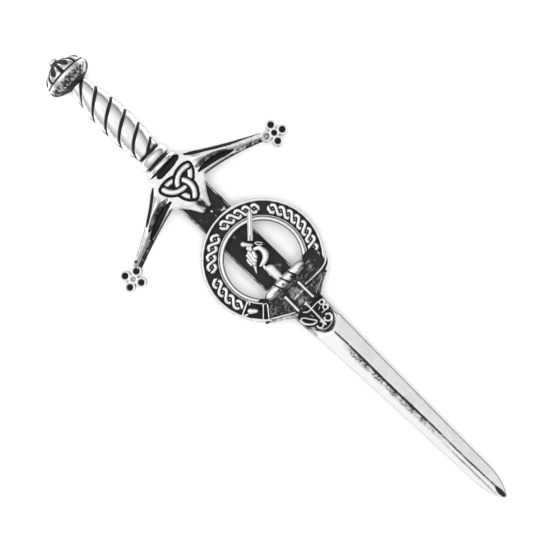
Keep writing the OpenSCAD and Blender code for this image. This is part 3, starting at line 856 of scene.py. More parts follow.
def strip_relief(x, y, to_edge):
    """Height and polish of the blade's strip, rough and dark between its raised edges."""
    rough = ripple(x, y, 0.8, 31)
    patchy = ripple(x, y, 2.2, 39) + 0.4 * ripple(x, y, 0.7, 30)
    rim = smooth(0.42, 0.26, to_edge)
    specks = smooth(0.62, 1.0, ripple(x, y * 1.7, 1.15, 37) + 0.5 * ripple(x, y, 0.5, 38))
    specks *= smooth(37.0, 35.6, x) * smooth(2.4, 1.8, np.abs(y)) * smooth(33.2, 34.2, x)
    height = STRIP_HEIGHT + 0.03 * rough + (STRIP_RIM_HEIGHT - STRIP_HEIGHT) * rim
    height += 0.12 * specks - edge_round(to_edge, 0.12)
    polish_and_shade = 0.08 + 0.4 * rim * np.clip(0.5 + 0.8 * ripple(x, y, 1.6, 33), 0, 1.3) + 0.85 * specks
    polish_and_shade += 0.1 * smooth(0.5, 1.2, rough) + 0.14 * smooth(0.35, 1.1, patchy)
    polish_and_shade += 0.45 * smooth(58.0, 60.5, x) - 0.5 * smooth(0.1, 0.0, to_edge)
    return height, polish_and_shade


def ridge_relief(x, y, to_edge):
    """Height and polish of the ridged blade, with a line on its ridge, a painted dark reflection
    below it and painted shade on its +y facet and edges.

    The ridge falls evenly to the tip. Off the ridge the height falls by slope x sqrt(y^2 + 0.02).
    """
    top, fall_to_tip, slope = 1.7, 0.6, 0.8 / 2.9
    line_y = 0.06 + 0.05 * np.sin(x * 0.4)
    line = np.exp(-(((y - line_y) / 0.18) ** 2)) * smooth(61.5, 62.5, x) * smooth(99.6, 99.0, x)
    line = line * (0.92 + 0.12 * ripple(x, y, 0.8, 32))
    # The smear below the ridge is a painted dark reflection, broken up by noise.
    spread = 0.34 + 0.24 * smooth(63, 69, x) * smooth(88, 78, x)
    painted_reflection = np.exp(-(((y + 0.44) / spread) ** 4)) * smooth(62.5, 67, x) * smooth(90, 82, x)
    painted_reflection *= np.clip(0.58 + 0.1 * ripple(x, 2.2 * y, 1.3, 35) + 0.24 * ripple(x, y, 0.26, 36), 0, 1)
    second = np.exp(-(((y + 0.7) / 0.2) ** 2)) * smooth(84, 90, x) * smooth(99.4, 98, x)
    tip = smooth(1.15, 0.5, np.hypot((x - 98.7) / 1.25, (y + 0.02) / 0.48))
    fall = fall_to_tip * (x - STRIP_END) / (LENGTH - STRIP_END)
    height = top - fall - slope * np.sqrt(y**2 + 0.02) - edge_round(to_edge, 0.22)
    height += 0.01 * ripple(0.25 * x, y, 1.2, 34) - 0.07 * line
    polish_and_shade = 0.95 - 0.9 * line - 0.95 * painted_reflection - 0.6 * second - 1.1 * tip
    # Painted shade darkens the +y facet, and the edges most on the +y side; the ripple is random.
    polish_and_shade -= 0.17 * smooth(0.0, 0.3, y) + 0.06 * ripple(x, y, 0.8, 31)
    polish_and_shade -= 0.6 * smooth(0.16, 0.02, to_edge) * (0.35 + 0.65 * smooth(0, 0.3, y))
    return height, polish_and_shade


def blade_shell():
    """Flat strip with raised edges that passes into the ridged blade by a smooth step."""
    body = np.concatenate([np.linspace(GUARD_ROOT, 55, 180), np.linspace(55.1, 64, 90),
                           np.linspace(64.2, 94, 200)])
    point = 94 + (LENGTH - 94) * np.sin(np.linspace(0.02, math.pi / 2, 50))
    s = np.concatenate([body, point])[:, None]
    side = np.linspace(-1, 1, 89)
    across = (np.sign(side) * (1 - (1 - np.abs(side)) ** 1.35))[None, :]
    half = np.maximum(blade_half(s), 0.02)
    y = across * half
    x = np.broadcast_to(s, y.shape)
    to_edge = half - np.abs(y)
    strip, dark = strip_relief(x, y, to_edge)
    ridge, bright = ridge_relief(x, y, to_edge)
    share = smooth(60.6, 62.2, x + 0.35 * np.abs(y))
    return slab(x, y, strip * (1 - share) + ridge * share, dark * (1 - share) + bright * share)


# Ring, strap and crest

BAND_HEIGHT = 1.6
RIM_HEIGHT = 2.2
INNER_RIM = 7.05
OUTER_RIM = 9.3
BORE = 6.2
PLATE_START = 50.2
PLATE_HEIGHT = 1.5
CHAPE_HEIGHT = 1.25
WREATH_STATION = 50.87
WREATH_HALF = 0.98
WREATH_ENDS = (-3.83, 4.65)


def in_ring(angle, radius):
    """Plan point at an angle in degrees and a radius about the ring's centre."""
    turn = np.radians(angle)
    return np.stack([RING_STATION + radius * np.cos(turn), RING_Y + radius * np.sin(turn)], -1)


def laid_over(height, polish_and_shade, on, back, shine):
    """Heights and polish with a raised form laid over them where it is."""
    return np.where(on, np.maximum(height, back), height), np.where(on, shine, polish_and_shade)


def plait_relief(r, degrees, loops, height, polish_and_shade):
    """Heights and polish with the plait of two strands laid over them, in four panels.

    In a panel of n loops the strands lie at band middle plus and minus amplitude x sin(n pi t),
    so they cross between loops and meet at both ends. Their heights go as plus and minus
    cos(n pi t), so each passes over and under the other in turn. Each loop has a dot in its eye.
    """
    band = (INNER_RIM + OUTER_RIM) / 2
    amplitude, half, dot_radius = 0.62, 0.3, 0.18
    # Rows: first and last angle, share of the loops
    panels = [(44, 128, 0.41), (139, 187, 0.23), (196, 238, 0.18), (247, 290, 0.18)]
    for first, last, part in panels:
        count = max(1, round(loops * part))
        turn = np.clip((degrees - first) / (last - first), 0, 1) * count * math.pi
        inside = (degrees > first - 1.5) & (degrees < last + 1.5)
        rate = count * 180 / (last - first)
        past = np.abs(degrees - np.clip(degrees, first, last)) * math.pi / 180 * band
        strands = []
        for sign in (1, -1):
            offset = r - band - sign * amplitude * np.sin(turn)
            slope = amplitude * np.cos(turn) * rate / r
            off = np.hypot(np.abs(offset) / np.sqrt(1 + slope**2), past)
            strands.append((off, sign * np.cos(turn)))
        for (off, weave), (other_off, other_weave) in (strands, strands[::-1]):
            cut = (other_weave > weave) & (other_off < half + 0.13)
            back = BAND_HEIGHT + 0.22 + 0.08 * weave + 0.28 * bump(off, half)
            height, polish_and_shade = laid_over(height, polish_and_shade, inside & (off < half) & ~cut, back,
                                       smooth(half, 0.55 * half, off))
        eye = (np.floor(turn / math.pi) + 0.5) * math.pi
        dot = np.hypot((turn - eye) / rate * band, r - band)
        height, polish_and_shade = laid_over(height, polish_and_shade, inside & (past < 0.01) & (dot < dot_radius),
                                   BAND_HEIGHT + 0.1 + 0.3 * bump(dot, dot_radius),
                                   smooth(dot_radius, 0.08, dot))
    return height, polish_and_shade


def ring_shell(loops):
    """Strap bent into a ring: three beads as rims, and a sunk band that carries the plait."""
    columns, rows = 1120, 82
    angle = np.linspace(0, 2 * math.pi, columns, endpoint=False)[None, :]
    radius = np.linspace(BORE, RING_RADIUS, rows)[:, None]
    x = RING_STATION + radius * np.cos(angle)
    y = RING_Y + radius * np.sin(angle)
    r = radius + 0 * angle
    degrees = np.degrees(angle) + 0 * radius
    grain = ripple(x, y, 0.6, 41)
    height = np.full(r.shape, BAND_HEIGHT) + 0.025 * grain
    polish_and_shade = 0.03 + 0.12 * smooth(0.6, 1.2, grain)

    # The outer rim is a little wider at its upper left
    swell = 0.09 * smooth(90, 125, degrees) * smooth(185, 160, degrees)
    # Rows: middle, half width, top, polish
    beads = [
        (RING_RADIUS - 0.25, 0.25 + swell, RIM_HEIGHT, 1.0),
        (6.54, 0.33, RIM_HEIGHT, 1.0),
        (6.99, 0.13, RIM_HEIGHT - 0.12, 0.75),
    ]
    for middle, half, top, bright in beads:
        off = np.abs(r - middle)
        back = top - 0.35 + 0.35 * bump(off, half)
        shine = bright * smooth(half, 0.65 * half, off)
        height, polish_and_shade = laid_over(height, polish_and_shade, off < half, back, shine)
    height, polish_and_shade = plait_relief(r, degrees, loops, height, polish_and_shade)

    # The band is sunk under the plain stretch of strap
    plain = smooth(PLATE_START - 0.1, PLATE_START + 0.2, x) * smooth(-5.6, -5.2, y)
    plain *= smooth(7.4, 6.8, y)
    height = height * (1 - plain) + (BAND_HEIGHT - 0.25) * plain
    polish_and_shade = polish_and_shade * (1 - plain)
    to_side = np.minimum(RING_RADIUS - r, r - BORE)
    height -= edge_round(to_side, 0.14)
    polish_and_shade -= 0.4 * smooth(0.08, 0.0, to_side)
    return hoop(x, y, height, polish_and_shade)


def plain_plate_shell():
    """Dark stretch of strap beside the wreath: a height field between two edges over y."""
    # Rows: y, station
    left = np.array([
        (-6.55, 53.3), (-5.2, 52.9), (-4.2, 51.9), (-3.2, 50.4), (3.6, 50.4), (4.6, 51.3),
        (7.4, 51.0), (8.25, 51.2),
    ])
    right = np.array([
        (-6.55, 53.6), (-3.5, 55.6), (-2.7, 56.35), (2.9, 56.35), (4.2, 55.5), (6.8, 54.3),
        (7.6, 53.75), (8.0, 53.2), (8.25, 52.3),
    ])
    y = np.linspace(left[0, 0], left[-1, 0], 200)[:, None]
    low = np.interp(y, left[:, 0], left[:, 1])
    high = np.interp(y, right[:, 0], right[:, 1])
    share = 0.5 - 0.5 * np.cos(np.linspace(0, math.pi, 84))[None, :]
    x = low + (high - low) * share
    yy = np.broadcast_to(y, x.shape)
    weave = ripple(x, 0.35 * yy, 0.32, 51)
    cloud = ripple(x, yy, 1.3, 54)
    height = PLATE_HEIGHT + 0.05 * weave + 0.03 * ripple(x, yy, 0.5, 52)
    polish_and_shade = 0.19 + 0.08 * weave + 0.04 * cloud + 0.1 * smooth(0.7, 1.2, ripple(x, yy, 0.7, 53))
    polish_and_shade -= 0.12 * smooth(4.8, 6.5, yy)
    # Rows: path, half width, polish
    lines = [
        (curve([(51.6, 8.3), (53.0, 7.5), (53.6, 6.4), (53.72, 4.5), (53.6, 2.3)], 16), 0.24, 1.0),
        (curve([(52.4, 8.25), (53.7, 7.4), (54.35, 6.2)], 16), 0.2, 0.8),
        (curve([(55.5, -2.1), (54.5, -3.8), (53.35, -5.7)], 16), 0.2, 0.95),
        (curve([(55.75, 2.4), (55.25, 3.6), (54.8, 4.7)], 8), 0.12, 0.5),
        (curve([(52.0, 3.3), (52.4, 2.3)], 8), 0.12, 0.5),
    ]
    for path, half, shine in lines:
        off = path_distance(x, yy, path)[0]
        height = np.maximum(height, PLATE_HEIGHT + 0.55 * bump(off, half))
        polish_and_shade = np.maximum(polish_and_shade, shine * smooth(half, 0.5 * half, off))
    outside = smooth(0.05, 0.3, x - np.interp(yy, [-5.7, -3.8, -2.1], [53.5, 54.65, 55.65]))
    polish_and_shade += 0.25 * outside * (yy < -2.0)
    height -= edge_round(high - x, 0.25)
    return slab(x, yy, height, polish_and_shade)


def buckle_shells():
    """Buckle frame as bars between two angles of the ring, a double end bar and a prong."""
    low, high = RIM_HEIGHT - 0.35, RIM_HEIGHT + 0.45
    inner, outer = INNER_RIM - 0.1, RING_RADIUS - 0.3
    # Angles of the frame's three cross bars
    start, second, end = -66.2, -45.6, -40.2
    # Rows: path, width, polish
    bars = [
        (in_ring(np.array([start, start]), np.array([inner, outer + 0.15])), 0.36, 1.0),
        (in_ring(np.array([second, second]), np.array([inner, outer])), 0.3, 1.0),
        (in_ring(np.array([end, end]), np.array([inner + 0.1, outer])), 0.3, 1.0),
        (in_ring(np.linspace(second, end, 5), np.full(5, inner + 0.05)), 0.26, 1.0),
        (in_ring(np.linspace(second, end, 5), np.full(5, outer)), 0.26, 0.8),
        (in_ring(np.linspace(start, second, 9), np.full(9, inner)), 0.34, 0.9),
        (in_ring(np.linspace(-56.5, second, 6), np.full(6, outer)), 0.42, 1.0),
        (in_ring(np.array([start + 1.5, start + 5.5]), np.array([outer - 0.1, outer - 0.6])), 0.4,
         0.7),
        (in_ring(np.array([start + 2.5, start + 4.0]), np.array([inner, inner + 0.65])), 0.34,
         0.8),
    ]
    shells = [bead(path, width, low, high, shine) for path, width, shine in bars]
    prong = in_ring(np.array([-63.0, -57.0, -51.0]), np.array([8.5, 8.3, 8.15]))
    shells.append(bead(prong, 1.0, low, high + 0.15, taper=(1.0, 0.75)))
    return shells


def wreath_shell(twists):
    """Twisted roll across the strap.

    The section is half round. A dark crease lies at each whole value of the twist, which is
    y less slant x cos(angle) over a twist's length, and the end twists are the longest.
    """
    rows, columns = 220, 84
    low, high = WREATH_ENDS
    share = (0.5 - 0.5 * np.cos(np.linspace(0.03, math.pi - 0.03, rows)))[:, None]
    angle = np.linspace(0, 2 * math.pi, columns, endpoint=False)[None, :]
    lean = np.cos(angle)
    y = low + (high - low) * share + 0 * angle
    # The first twist takes 1.85 steps and the two end twists together 3.6, the others one each
    first_twist, end_twists, slant = 1.85, 3.6, 0.3
    step = (high - low) / (twists - 2 + end_twists)
    along = (y - slant * lean - low) / step - first_twist
    away = np.abs(along - np.round(along)) * step
    away = np.where((along > -0.5) & (along < twists - 1.5), away, step / 2)
    swell = bump(np.minimum(away, 0.5) - 0.5, 0.52)
    ends = np.sqrt(np.clip(1 - np.abs(2 * share - 1) ** 7, 0, 1))
    size = (0.74 + 0.26 * swell) * ends
    x = WREATH_STATION + WREATH_HALF * size * lean
    z = np.maximum(BAND_HEIGHT + 0.3 + 0.95 * size * np.sin(angle), BAND_HEIGHT - 0.3)
    mottle = ripple(x, y, 0.55, 91)
    crease = smooth(0.2, 0.06, away)
    polish_and_shade = 0.97 - 1.1 * crease - 0.58 * smooth(-0.1, 0.4, lean + 0.3 * mottle)
    polish_and_shade -= 0.32 * smooth(-0.1, 0.8, mottle) * smooth(-0.1, 0.4, lean)
    polish_and_shade -= 0.6 * smooth(0.92, 0.99, lean) + 0.6 * smooth(0.94, 0.99, np.abs(2 * share - 1))
    return roll_up(x, y, z, polish_and_shade)


def finger(x, y, path, radii, heights):
    """Round-backed form along a path: the axis's height plus 0.7 of its radius x a round bump.

    Beside the form the height is low enough to lose against every other one.
    """
    below_all = -9.0
    off, along = path_distance(x, y, np.asarray(path, float))
    at = np.linspace(0, 1, len(radii))
    wide = np.interp(along, at, radii)
    axis = np.interp(along, np.linspace(0, 1, len(heights)), heights)
    return np.where(off < wide, axis + 0.7 * wide * bump(off, wide), below_all)


def hand_shell():
    """Fist, thumb and wrist as the highest of round-backed fingers over a low ground."""
    x, y = np.meshgrid(np.linspace(42.8, 50.3, 240), np.linspace(-2.35, 2.3, 150))
    # Rows: path, radii and axis heights along it
    forms = [
        (curve([(43.98, 0.72), (44.4, 1.3), (45.3, 1.42), (46.05, 1.05), (46.4, 0.3), (46.5, -0.55)],
               10), (0.3, 0.36, 0.44, 0.56, 0.5, 0.42, 0.2), (2.0, 2.15, 2.1, 1.9)),
        ([(43.2, 0.02), (43.7, 0.2)], (0.36, 0.22), (2.1, 2.1)),
        ([(44.25, 0.12), (44.95, -0.1)], (0.34, 0.34), (2.2, 2.3)),
        ([(43.8, -0.4), (45.3, -0.6)], (0.36, 0.38), (2.2, 2.3)),
        ([(43.95, -0.82), (45.6, -1.02)], (0.36, 0.36), (2.15, 2.15)),
        ([(44.5, -1.32), (45.3, -1.4)], (0.32, 0.32), (2.0, 2.0)),
        ([(45.2, -1.05), (45.9, -1.25), (46.85, -1.85)], (0.38, 0.26, 0.1), (1.9, 1.5)),
        ([(46.7, -0.2), (47.5, -0.3)], (0.2, 0.36), (1.5, 1.6)),
        ([(48.05, 0.22), (49.55, 0.16)], (0.82, 0.8), (1.6, 1.6)),
        ([(47.7, -0.05), (48.6, -0.15)], (0.55, 0.6), (1.65, 1.6)),
    ]
    ground = STRIP_HEIGHT - 0.25
    layers = np.sort(np.stack([finger(x, y, *form) for form in forms]), axis=0)
    top, second = layers[-1], layers[-2]
    height = np.maximum(top, ground)
    crease = smooth(0.14, 0.0, top - second) * (second > 1.3) * (x < 46.2)
    height -= 0.12 * crease
    height += 0.03 * ripple(x, y, 0.45, 61) * (top > ground)
    polish_and_shade = smooth(1.25, 1.75, height + 0.1 * ripple(x, y, 0.4, 62)) - 0.45 * crease
    polish_and_shade -= 0.3 * smooth(0.5, 1.1, ripple(x, y, 0.6, 63)) * (x > 44.8)
    return slab(x, y, height, polish_and_shade, bottom=0.2)


def dagger_shells():
    """Dagger held upright: a ridged blade, a cross-guard with a looped end, and its grip."""
    tip, root = np.array([39.05, 4.68]), np.array([42.6, 1.15])
    run = root - tip
    length = np.hypot(*run)
    ahead = run / length
    aside = np.array([-ahead[1], ahead[0]])
    rows, columns = 90, 41
    along = np.concatenate([[0.0], np.linspace(0.004, 1, rows - 1) ** 1.3])[:, None] * length
    widest = 0.4
    half = widest * np.clip(along / 0.95, 0, 1) ** 0.6 + 0.02
    share = np.linspace(-1, 1, columns)[None, :]
    x = tip[0] + along * ahead[0] + share * half * aside[0]
    y = tip[1] + along * ahead[1] + share * half * aside[1]
    height = 2.8 - 0.22 * np.abs(share) ** 1.3 * half / widest - 0.25 * np.exp(-along / 0.4)
    line = np.exp(-(((share * half + 0.02) / 0.1) ** 2)) * smooth(length - 1.1, length - 0.6, along)
    faint = np.exp(-(((share * half - 0.16) / 0.05) ** 2)) * smooth(0.6, 1.2, along)
    height = height - 0.12 * line - 0.05 * faint
    polish_and_shade = 1.0 - 1.1 * line - 0.35 * faint - 0.4 * smooth(0.88, 1.0, np.abs(share)) + 0 * along
    shells = [slab(x, y, height, polish_and_shade, bottom=1.2)]
    shells.append(bead([(41.75, -0.35), (42.4, 0.1), (43.45, 1.0)], 1.05, 1.0, 2.9,
                       taper=(1.15, 0.5)))

    # The cross-guard's looped end is an oval of wire
    bearing = np.linspace(0, 2 * math.pi, 25)
    turn = math.radians(38)
    wide, tall = 0.62 * np.cos(bearing), 0.2 * np.sin(bearing)
    oval = np.stack([43.85 + wide * math.cos(turn) - tall * math.sin(turn),
                     1.78 + wide * math.sin(turn) + tall * math.cos(turn)], -1)
    shells.append(bead(oval[:-1], 0.26, 1.6, 2.7, 0.95))
    shells.append(bead([root + 0.3 * ahead, root + 1.7 * ahead], 0.5, 1.0, 2.3, 0.9))
    return shells


def tail_shells():
    """The strap's tail: a finely hatched field between two raised bars."""
    x, y = np.meshgrid(np.linspace(52.25, 56.25, 140), np.linspace(-1.7, 1.95, 112))
    hatch_pitch, streak = 0.34, 54.0
    hatch = np.abs(np.sin(x * math.pi / hatch_pitch))
    height = 1.74 + 0.05 * hatch + 0.03 * ripple(x, y, 0.5, 71)
    polish_and_shade = 0.12 + 0.22 * hatch * smooth(-0.2, 0.9, ripple(x, y, 0.9, 72))
    worn = smooth(-1.0, 0.8, ripple(x, y, 0.6, 73))
    polish_and_shade += 0.45 * np.exp(-(((x - streak) / 0.14) ** 2)) * worn
    polish_and_shade += 0.12 * ripple(x, y, 1.2, 74)
    field = slab(x, y, height, polish_and_shade, bottom=1.0)
    upper = bead([(52.4, 1.72), (56.0, 1.68)], 0.5, 1.6, 2.3)
    lower = bead([(52.55, -1.42), (55.9, -1.5)], 0.5, 1.6, 2.3)
    return [field, upper, lower]


def round_path(x, y, radius, first=0, last=360):
    """Round path about a point, between two angles in degrees."""
    turn = np.radians(np.linspace(first, last, 40))
    return np.stack([x + radius * np.cos(turn), y + radius * np.sin(turn)], -1)


def chape_shell():
    """Scrolled end of the strap: raised lines over a dark ground that sinks into the blade."""
    x, y = np.meshgrid(np.linspace(55.5, STRIP_END, 236), np.linspace(-2.62, 2.62, 214))
    # Rows: path, half width, polish
    lines = [
        (curve([(55.75, 0.1), (57.5, 0.08), (60.35, -0.05)], 10), 0.247, 1.0),
        (curve([(55.7, 0.3), (55.95, 0.1), (55.75, -0.12)], 10), 0.234, 1.0),
        (round_path(57.42, 2.0, 0.38), 0.208, 1.0),
        (round_path(58.38, 1.85, 0.38), 0.208, 1.0),
        (round_path(59.8, 0.98, 0.56, -130, 170), 0.247, 1.0),
        (curve([(57.05, 1.9), (56.93, 1.2), (57.0, 0.2)], 10), 0.195, 0.95),
        (curve([(58.7, 1.5), (58.6, 0.85)], 10), 0.182, 0.8),
        (curve([(57.7, 1.3), (57.9, 0.85)], 10), 0.13, 0.6),
        (curve([(57.0, 0.0), (56.95, -0.6), (56.5, -1.15)], 10), 0.208, 0.95),
        (curve([(56.95, -2.05), (57.3, -1.65), (58.1, -1.15), (58.8, -0.68), (59.05, -0.95),
                (58.65, -1.7), (57.9, -2.25), (57.2, -2.38), (56.95, -2.05)], 10), 0.208, 1.0),
        (round_path(59.75, -0.7, 0.5, 130, -110), 0.221, 0.95),
        (round_path(59.3, 0.1, 1.6, -48, 55), 0.156, 0.45),
    ]
    outline = curve([(55.7, 0.9), (56.4, 1.9), (57.3, 2.5), (58.8, 2.4), (60.3, 1.85),
                     (61.0, 0.6), (60.95, -0.6), (60.3, -1.6), (58.6, -2.4), (57.0, -2.5),
                     (56.2, -1.7), (55.7, -0.9), (55.7, 0.9)], 12)
    off = path_distance(x, y, outline)[0]
    inside = points_inside(x, y, outline)
    ground = CHAPE_HEIGHT + 0.02 * ripple(x, y, 0.4, 81)
    height = np.where(inside, np.minimum(ground, 1.0 + 2 * off), np.maximum(0.7, 1.0 - 2 * off))
    nearest = np.full(x.shape, np.inf)
    relief = np.full(x.shape, -np.inf)
    shine = np.zeros(x.shape)
    for path, half, bright in lines:
        off = path_distance(x, y, path)[0]
        on = off < half
        relief = np.where(on, np.maximum(relief, 1.7 + 0.45 * bump(off, half)), relief)
        shine = np.where(on, np.maximum(shine, bright * smooth(half, 0.75 * half, off)), shine)
        nearest = np.minimum(nearest, off - half)
    grey = smooth(0.12, 0.55, nearest) * smooth(57.0, 58.5, x) + 0.25 * ripple(x, y, 0.5, 82)
    polish_and_shade = np.where(relief > height, shine, 0.02 + 0.6 * np.clip(grey, 0, 1))
    height = np.maximum(height, relief)
    return slab(x, y, height, polish_and_shade, bottom=0.2)


def points_inside(x, y, outline):
    """Whether each point lies in a closed outline: it crosses a ray an odd number of times."""
    crossings = np.zeros(x.shape, int)
    for (ax, ay), (bx, by) in zip(outline[:-1], outline[1:]):
        straddles = (ay > y) != (by > y)
        rise = by - ay if abs(by - ay) > 1e-9 else 1e-9
        crossings += straddles & (x < (bx - ax) * (y - ay) / rise + ax)
    return crossings % 2 == 1


# Sizes and colours that a user would change


class KiltPinForm(bpy.types.PropertyGroup):
    """Counts and sizes of the pin's ornament."""

    pommel_lobes: bpy.props.IntProperty(
        name="Pommel lobes", description="Lobes round the pommel's dome", default=8, min=4, max=12
    )
    binding_pitch: bpy.props.FloatProperty(
        name="Binding pitch", description="Millimetres between two turns of the grip's binding",
        default=2.95, min=2.5, max=4.0,
    )
    binding_groove: bpy.props.FloatProperty(
        name="Binding groove", description="Millimetres across a groove of the grip's binding",
        default=0.27, min=0.2, max=0.8,
    )
    knot_reach: bpy.props.FloatProperty(
        name="Knot reach", description="Millimetres from the knot's middle to its corners",
        default=2.8, min=2.5, max=3.4,
    )
    plait_loops: bpy.props.IntProperty(
        name="Plait loops", description="Loops of the ring's two-strand plait, in all its panels",
        default=22, min=8, max=40,
    )
    wreath_twists: bpy.props.IntProperty(
        name="Wreath twists", description="Twists of the roll under the crest", default=4, min=3,
        max=9,
    )


class KiltPinFinish(bpy.types.PropertyGroup):
    """Colours and wear of the metal."""

    metal: bpy.props.FloatVectorProperty(
        name="Metal", description="Colour of the polished pewter", subtype="COLOR",
        default=(0.86, 0.86, 0.85), min=0, max=1,
    )
    # The patina colour is the colour of the blackened recesses and also of the painted shade.
    patina_and_shade: bpy.props.FloatVectorProperty(
        name="Patina", description="Colour of the blackened recesses", subtype="COLOR",
        default=(0.012, 0.012, 0.013), min=0, max=1,
    )
    steel: bpy.props.FloatVectorProperty(
        name="Steel", description="Colour of the brooch pin", subtype="COLOR",
        default=(0.62, 0.62, 0.61), min=0, max=1,
    )
    bright_wear: bpy.props.FloatProperty(
        name="Bright wear", description="How far the polish goes on bright parts", default=0.0,
        min=-0.5, max=0.5, subtype="FACTOR",
    )
    dark_wear: bpy.props.FloatProperty(
        name="Dark wear", description="How far the polish goes on blackened parts", default=0.0,
        min=-0.5, max=0.5, subtype="FACTOR",
    )
    roughness: bpy.props.FloatProperty(
        name="Roughness", description="Roughness of the polished metal", default=0.24, min=0,
        max=1, subtype="FACTOR",
    )
    grain: bpy.props.FloatProperty(
        name="Grain", description="Depth of the cast grain, in millimetres", default=0.012,
        min=0, max=0.1,
    )


class KiltPinStudio(bpy.types.PropertyGroup):
    """Light and camera of the stage."""

    view_width: bpy.props.FloatProperty(
        name="View width", description="Width that the camera sees at the pin's front",
        default=0.08678, min=0.02, max=1, subtype="DISTANCE", unit="LENGTH",
    )
    lens: bpy.props.FloatProperty(
        name="Lens", description="Focal length in millimetres", default=200, min=20, max=500
    )
    turn: bpy.props.FloatProperty(
        name="Turn", description="Turn of the camera about its line of sight",
        default=math.radians(43.93), subtype="ANGLE", unit="ROTATION",
    )
    floor: bpy.props.FloatVectorProperty(
        name="Floor", description="Colour of the floor", subtype="COLOR",
        default=(0.92, 0.92, 0.92), min=0, max=1,
    )
    softbox: bpy.props.FloatProperty(
        name="Softbox", description="Power of the large light overhead, in watts", default=3.6,
        min=0, max=20,
    )


# Operators, one for each piece or group of like pieces


class Builder:
    """What every operator allows: it is listed, and it can be undone."""

    bl_options = {"REGISTER", "UNDO"}


class KILTPIN_OT_pommel(Builder, bpy.types.Operator):
    """Make the lobed pommel."""

    bl_idname = "kiltpin.pommel"
    bl_label = "Pommel"

    def execute(self, context):
        shell = pommel_shell(context.scene.kilt_pin_form.pommel_lobes)
        make_piece("lobed_pommel", [shell], pewter("bright"), "pommel")
        return {"FINISHED"}


class KILTPIN_OT_grip(Builder, bpy.types.Operator):
    """Make the spirally bound grip."""

    bl_idname = "kiltpin.grip"
    bl_label = "Grip"

    def execute(self, context):
        form = context.scene.kilt_pin_form
        shell = grip_shell(form.binding_pitch, form.binding_groove)
        make_piece("bound_grip", [shell], pewter("bright"), "grip")
        return {"FINISHED"}


class KILTPIN_OT_collar(Builder, bpy.types.Operator):
    """Make the beaded collar between grip and guard."""

    bl_idname = "kiltpin.collar"
    bl_label = "Collar"

    def execute(self, context):
        make_piece("beaded_collar", [collar_shell()], pewter("bright"), "collar")
        return {"FINISHED"}


class KILTPIN_OT_guard(Builder, bpy.types.Operator):
    """Make the guard with its knot, langet, arms and quatrefoils."""

    bl_idname = "kiltpin.guard"
    bl_label = "Guard"

    def execute(self, context):
        reach = context.scene.kilt_pin_form.knot_reach
        make_piece("knotted_guard", [guard_shell(reach)], pewter("bright"), "guard")
        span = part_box("guard")[1].y / MM - QUATREFOIL_INSET
        for name, side, shallow in (("upper", 1, 3), ("lower", -1, 4)):
            middle = (QUATREFOIL_STATION, side * span)
            shell = quatrefoil_shell(middle, -side * QUATREFOIL_TURN, shallow)
            make_piece(name + "_quatrefoil", [shell], pewter("bright"), "guard")
        return {"FINISHED"}


class KILTPIN_OT_blade(Builder, bpy.types.Operator):
    """Make the blade."""

    bl_idname = "kiltpin.blade"
    bl_label = "Blade"

    def execute(self, context):
        make_piece("ridged_blade", [blade_shell()], pewter("bright"), "blade")
        return {"FINISHED"}


class KILTPIN_OT_strap(Builder, bpy.types.Operator):
    """Make the strap ring, its plain stretch, its buckle and its end."""

    bl_idname = "kiltpin.strap"
    bl_label = "Strap"

    def execute(self, context):
        loops = context.scene.kilt_pin_form.plait_loops
        dark = pewter("dark")
        make_piece("plaited_ring", [ring_shell(loops)], dark, "strap_ring")
        make_piece("plain_strap", [plain_plate_shell()], dark, "strap_ring")
        make_piece("strap_buckle", buckle_shells(), pewter("bright"), "buckle")
        make_piece("strap_tail", tail_shells(), dark, "strap_end")
        make_piece("scrolled_chape", [chape_shell()], dark, "strap_end")
        return {"FINISHED"}


class KILTPIN_OT_crest(Builder, bpy.types.Operator):
    """Make the wreath, the hand and its dagger."""

    bl_idname = "kiltpin.crest"
    bl_label = "Crest"

    def execute(self, context):
        twists = context.scene.kilt_pin_form.wreath_twists
        bright = pewter("bright")
        make_piece("twisted_wreath", [wreath_shell(twists)], bright, "wreath")
        make_piece("crest_hand", [hand_shell()], bright, "crest")
        make_piece("crest_dagger", dagger_shells(), bright, "crest")
        return {"FINISHED"}


class KILTPIN_OT_brooch_pin(Builder, bpy.types.Operator):
    """Give the brooch fitting on the back its steel."""

    bl_idname = "kiltpin.brooch_pin"
    bl_label = "Brooch pin"

    def execute(self, context):
        steel = satin_steel("satin_steel", tuple(context.scene.kilt_pin_finish.steel))
        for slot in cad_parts["brooch_pin"].material_slots:
            slot.material = steel
        return {"FINISHED"}


class KILTPIN_OT_stage(Builder, bpy.types.Operator):
    """Make the floor, the lights and the camera."""

    bl_idname = "kiltpin.stage"
    bl_label = "Stage"

    def execute(self, context):
        studio = context.scene.kilt_pin_studio
        make_floor(studio)
        make_lights(studio)
        make_camera(studio)
        return {"FINISHED"}


# Floor, lights and camera

# The camera looks down on this place of the pin
VIEW_STATION = 49.16
VIEW_Y = -0.04


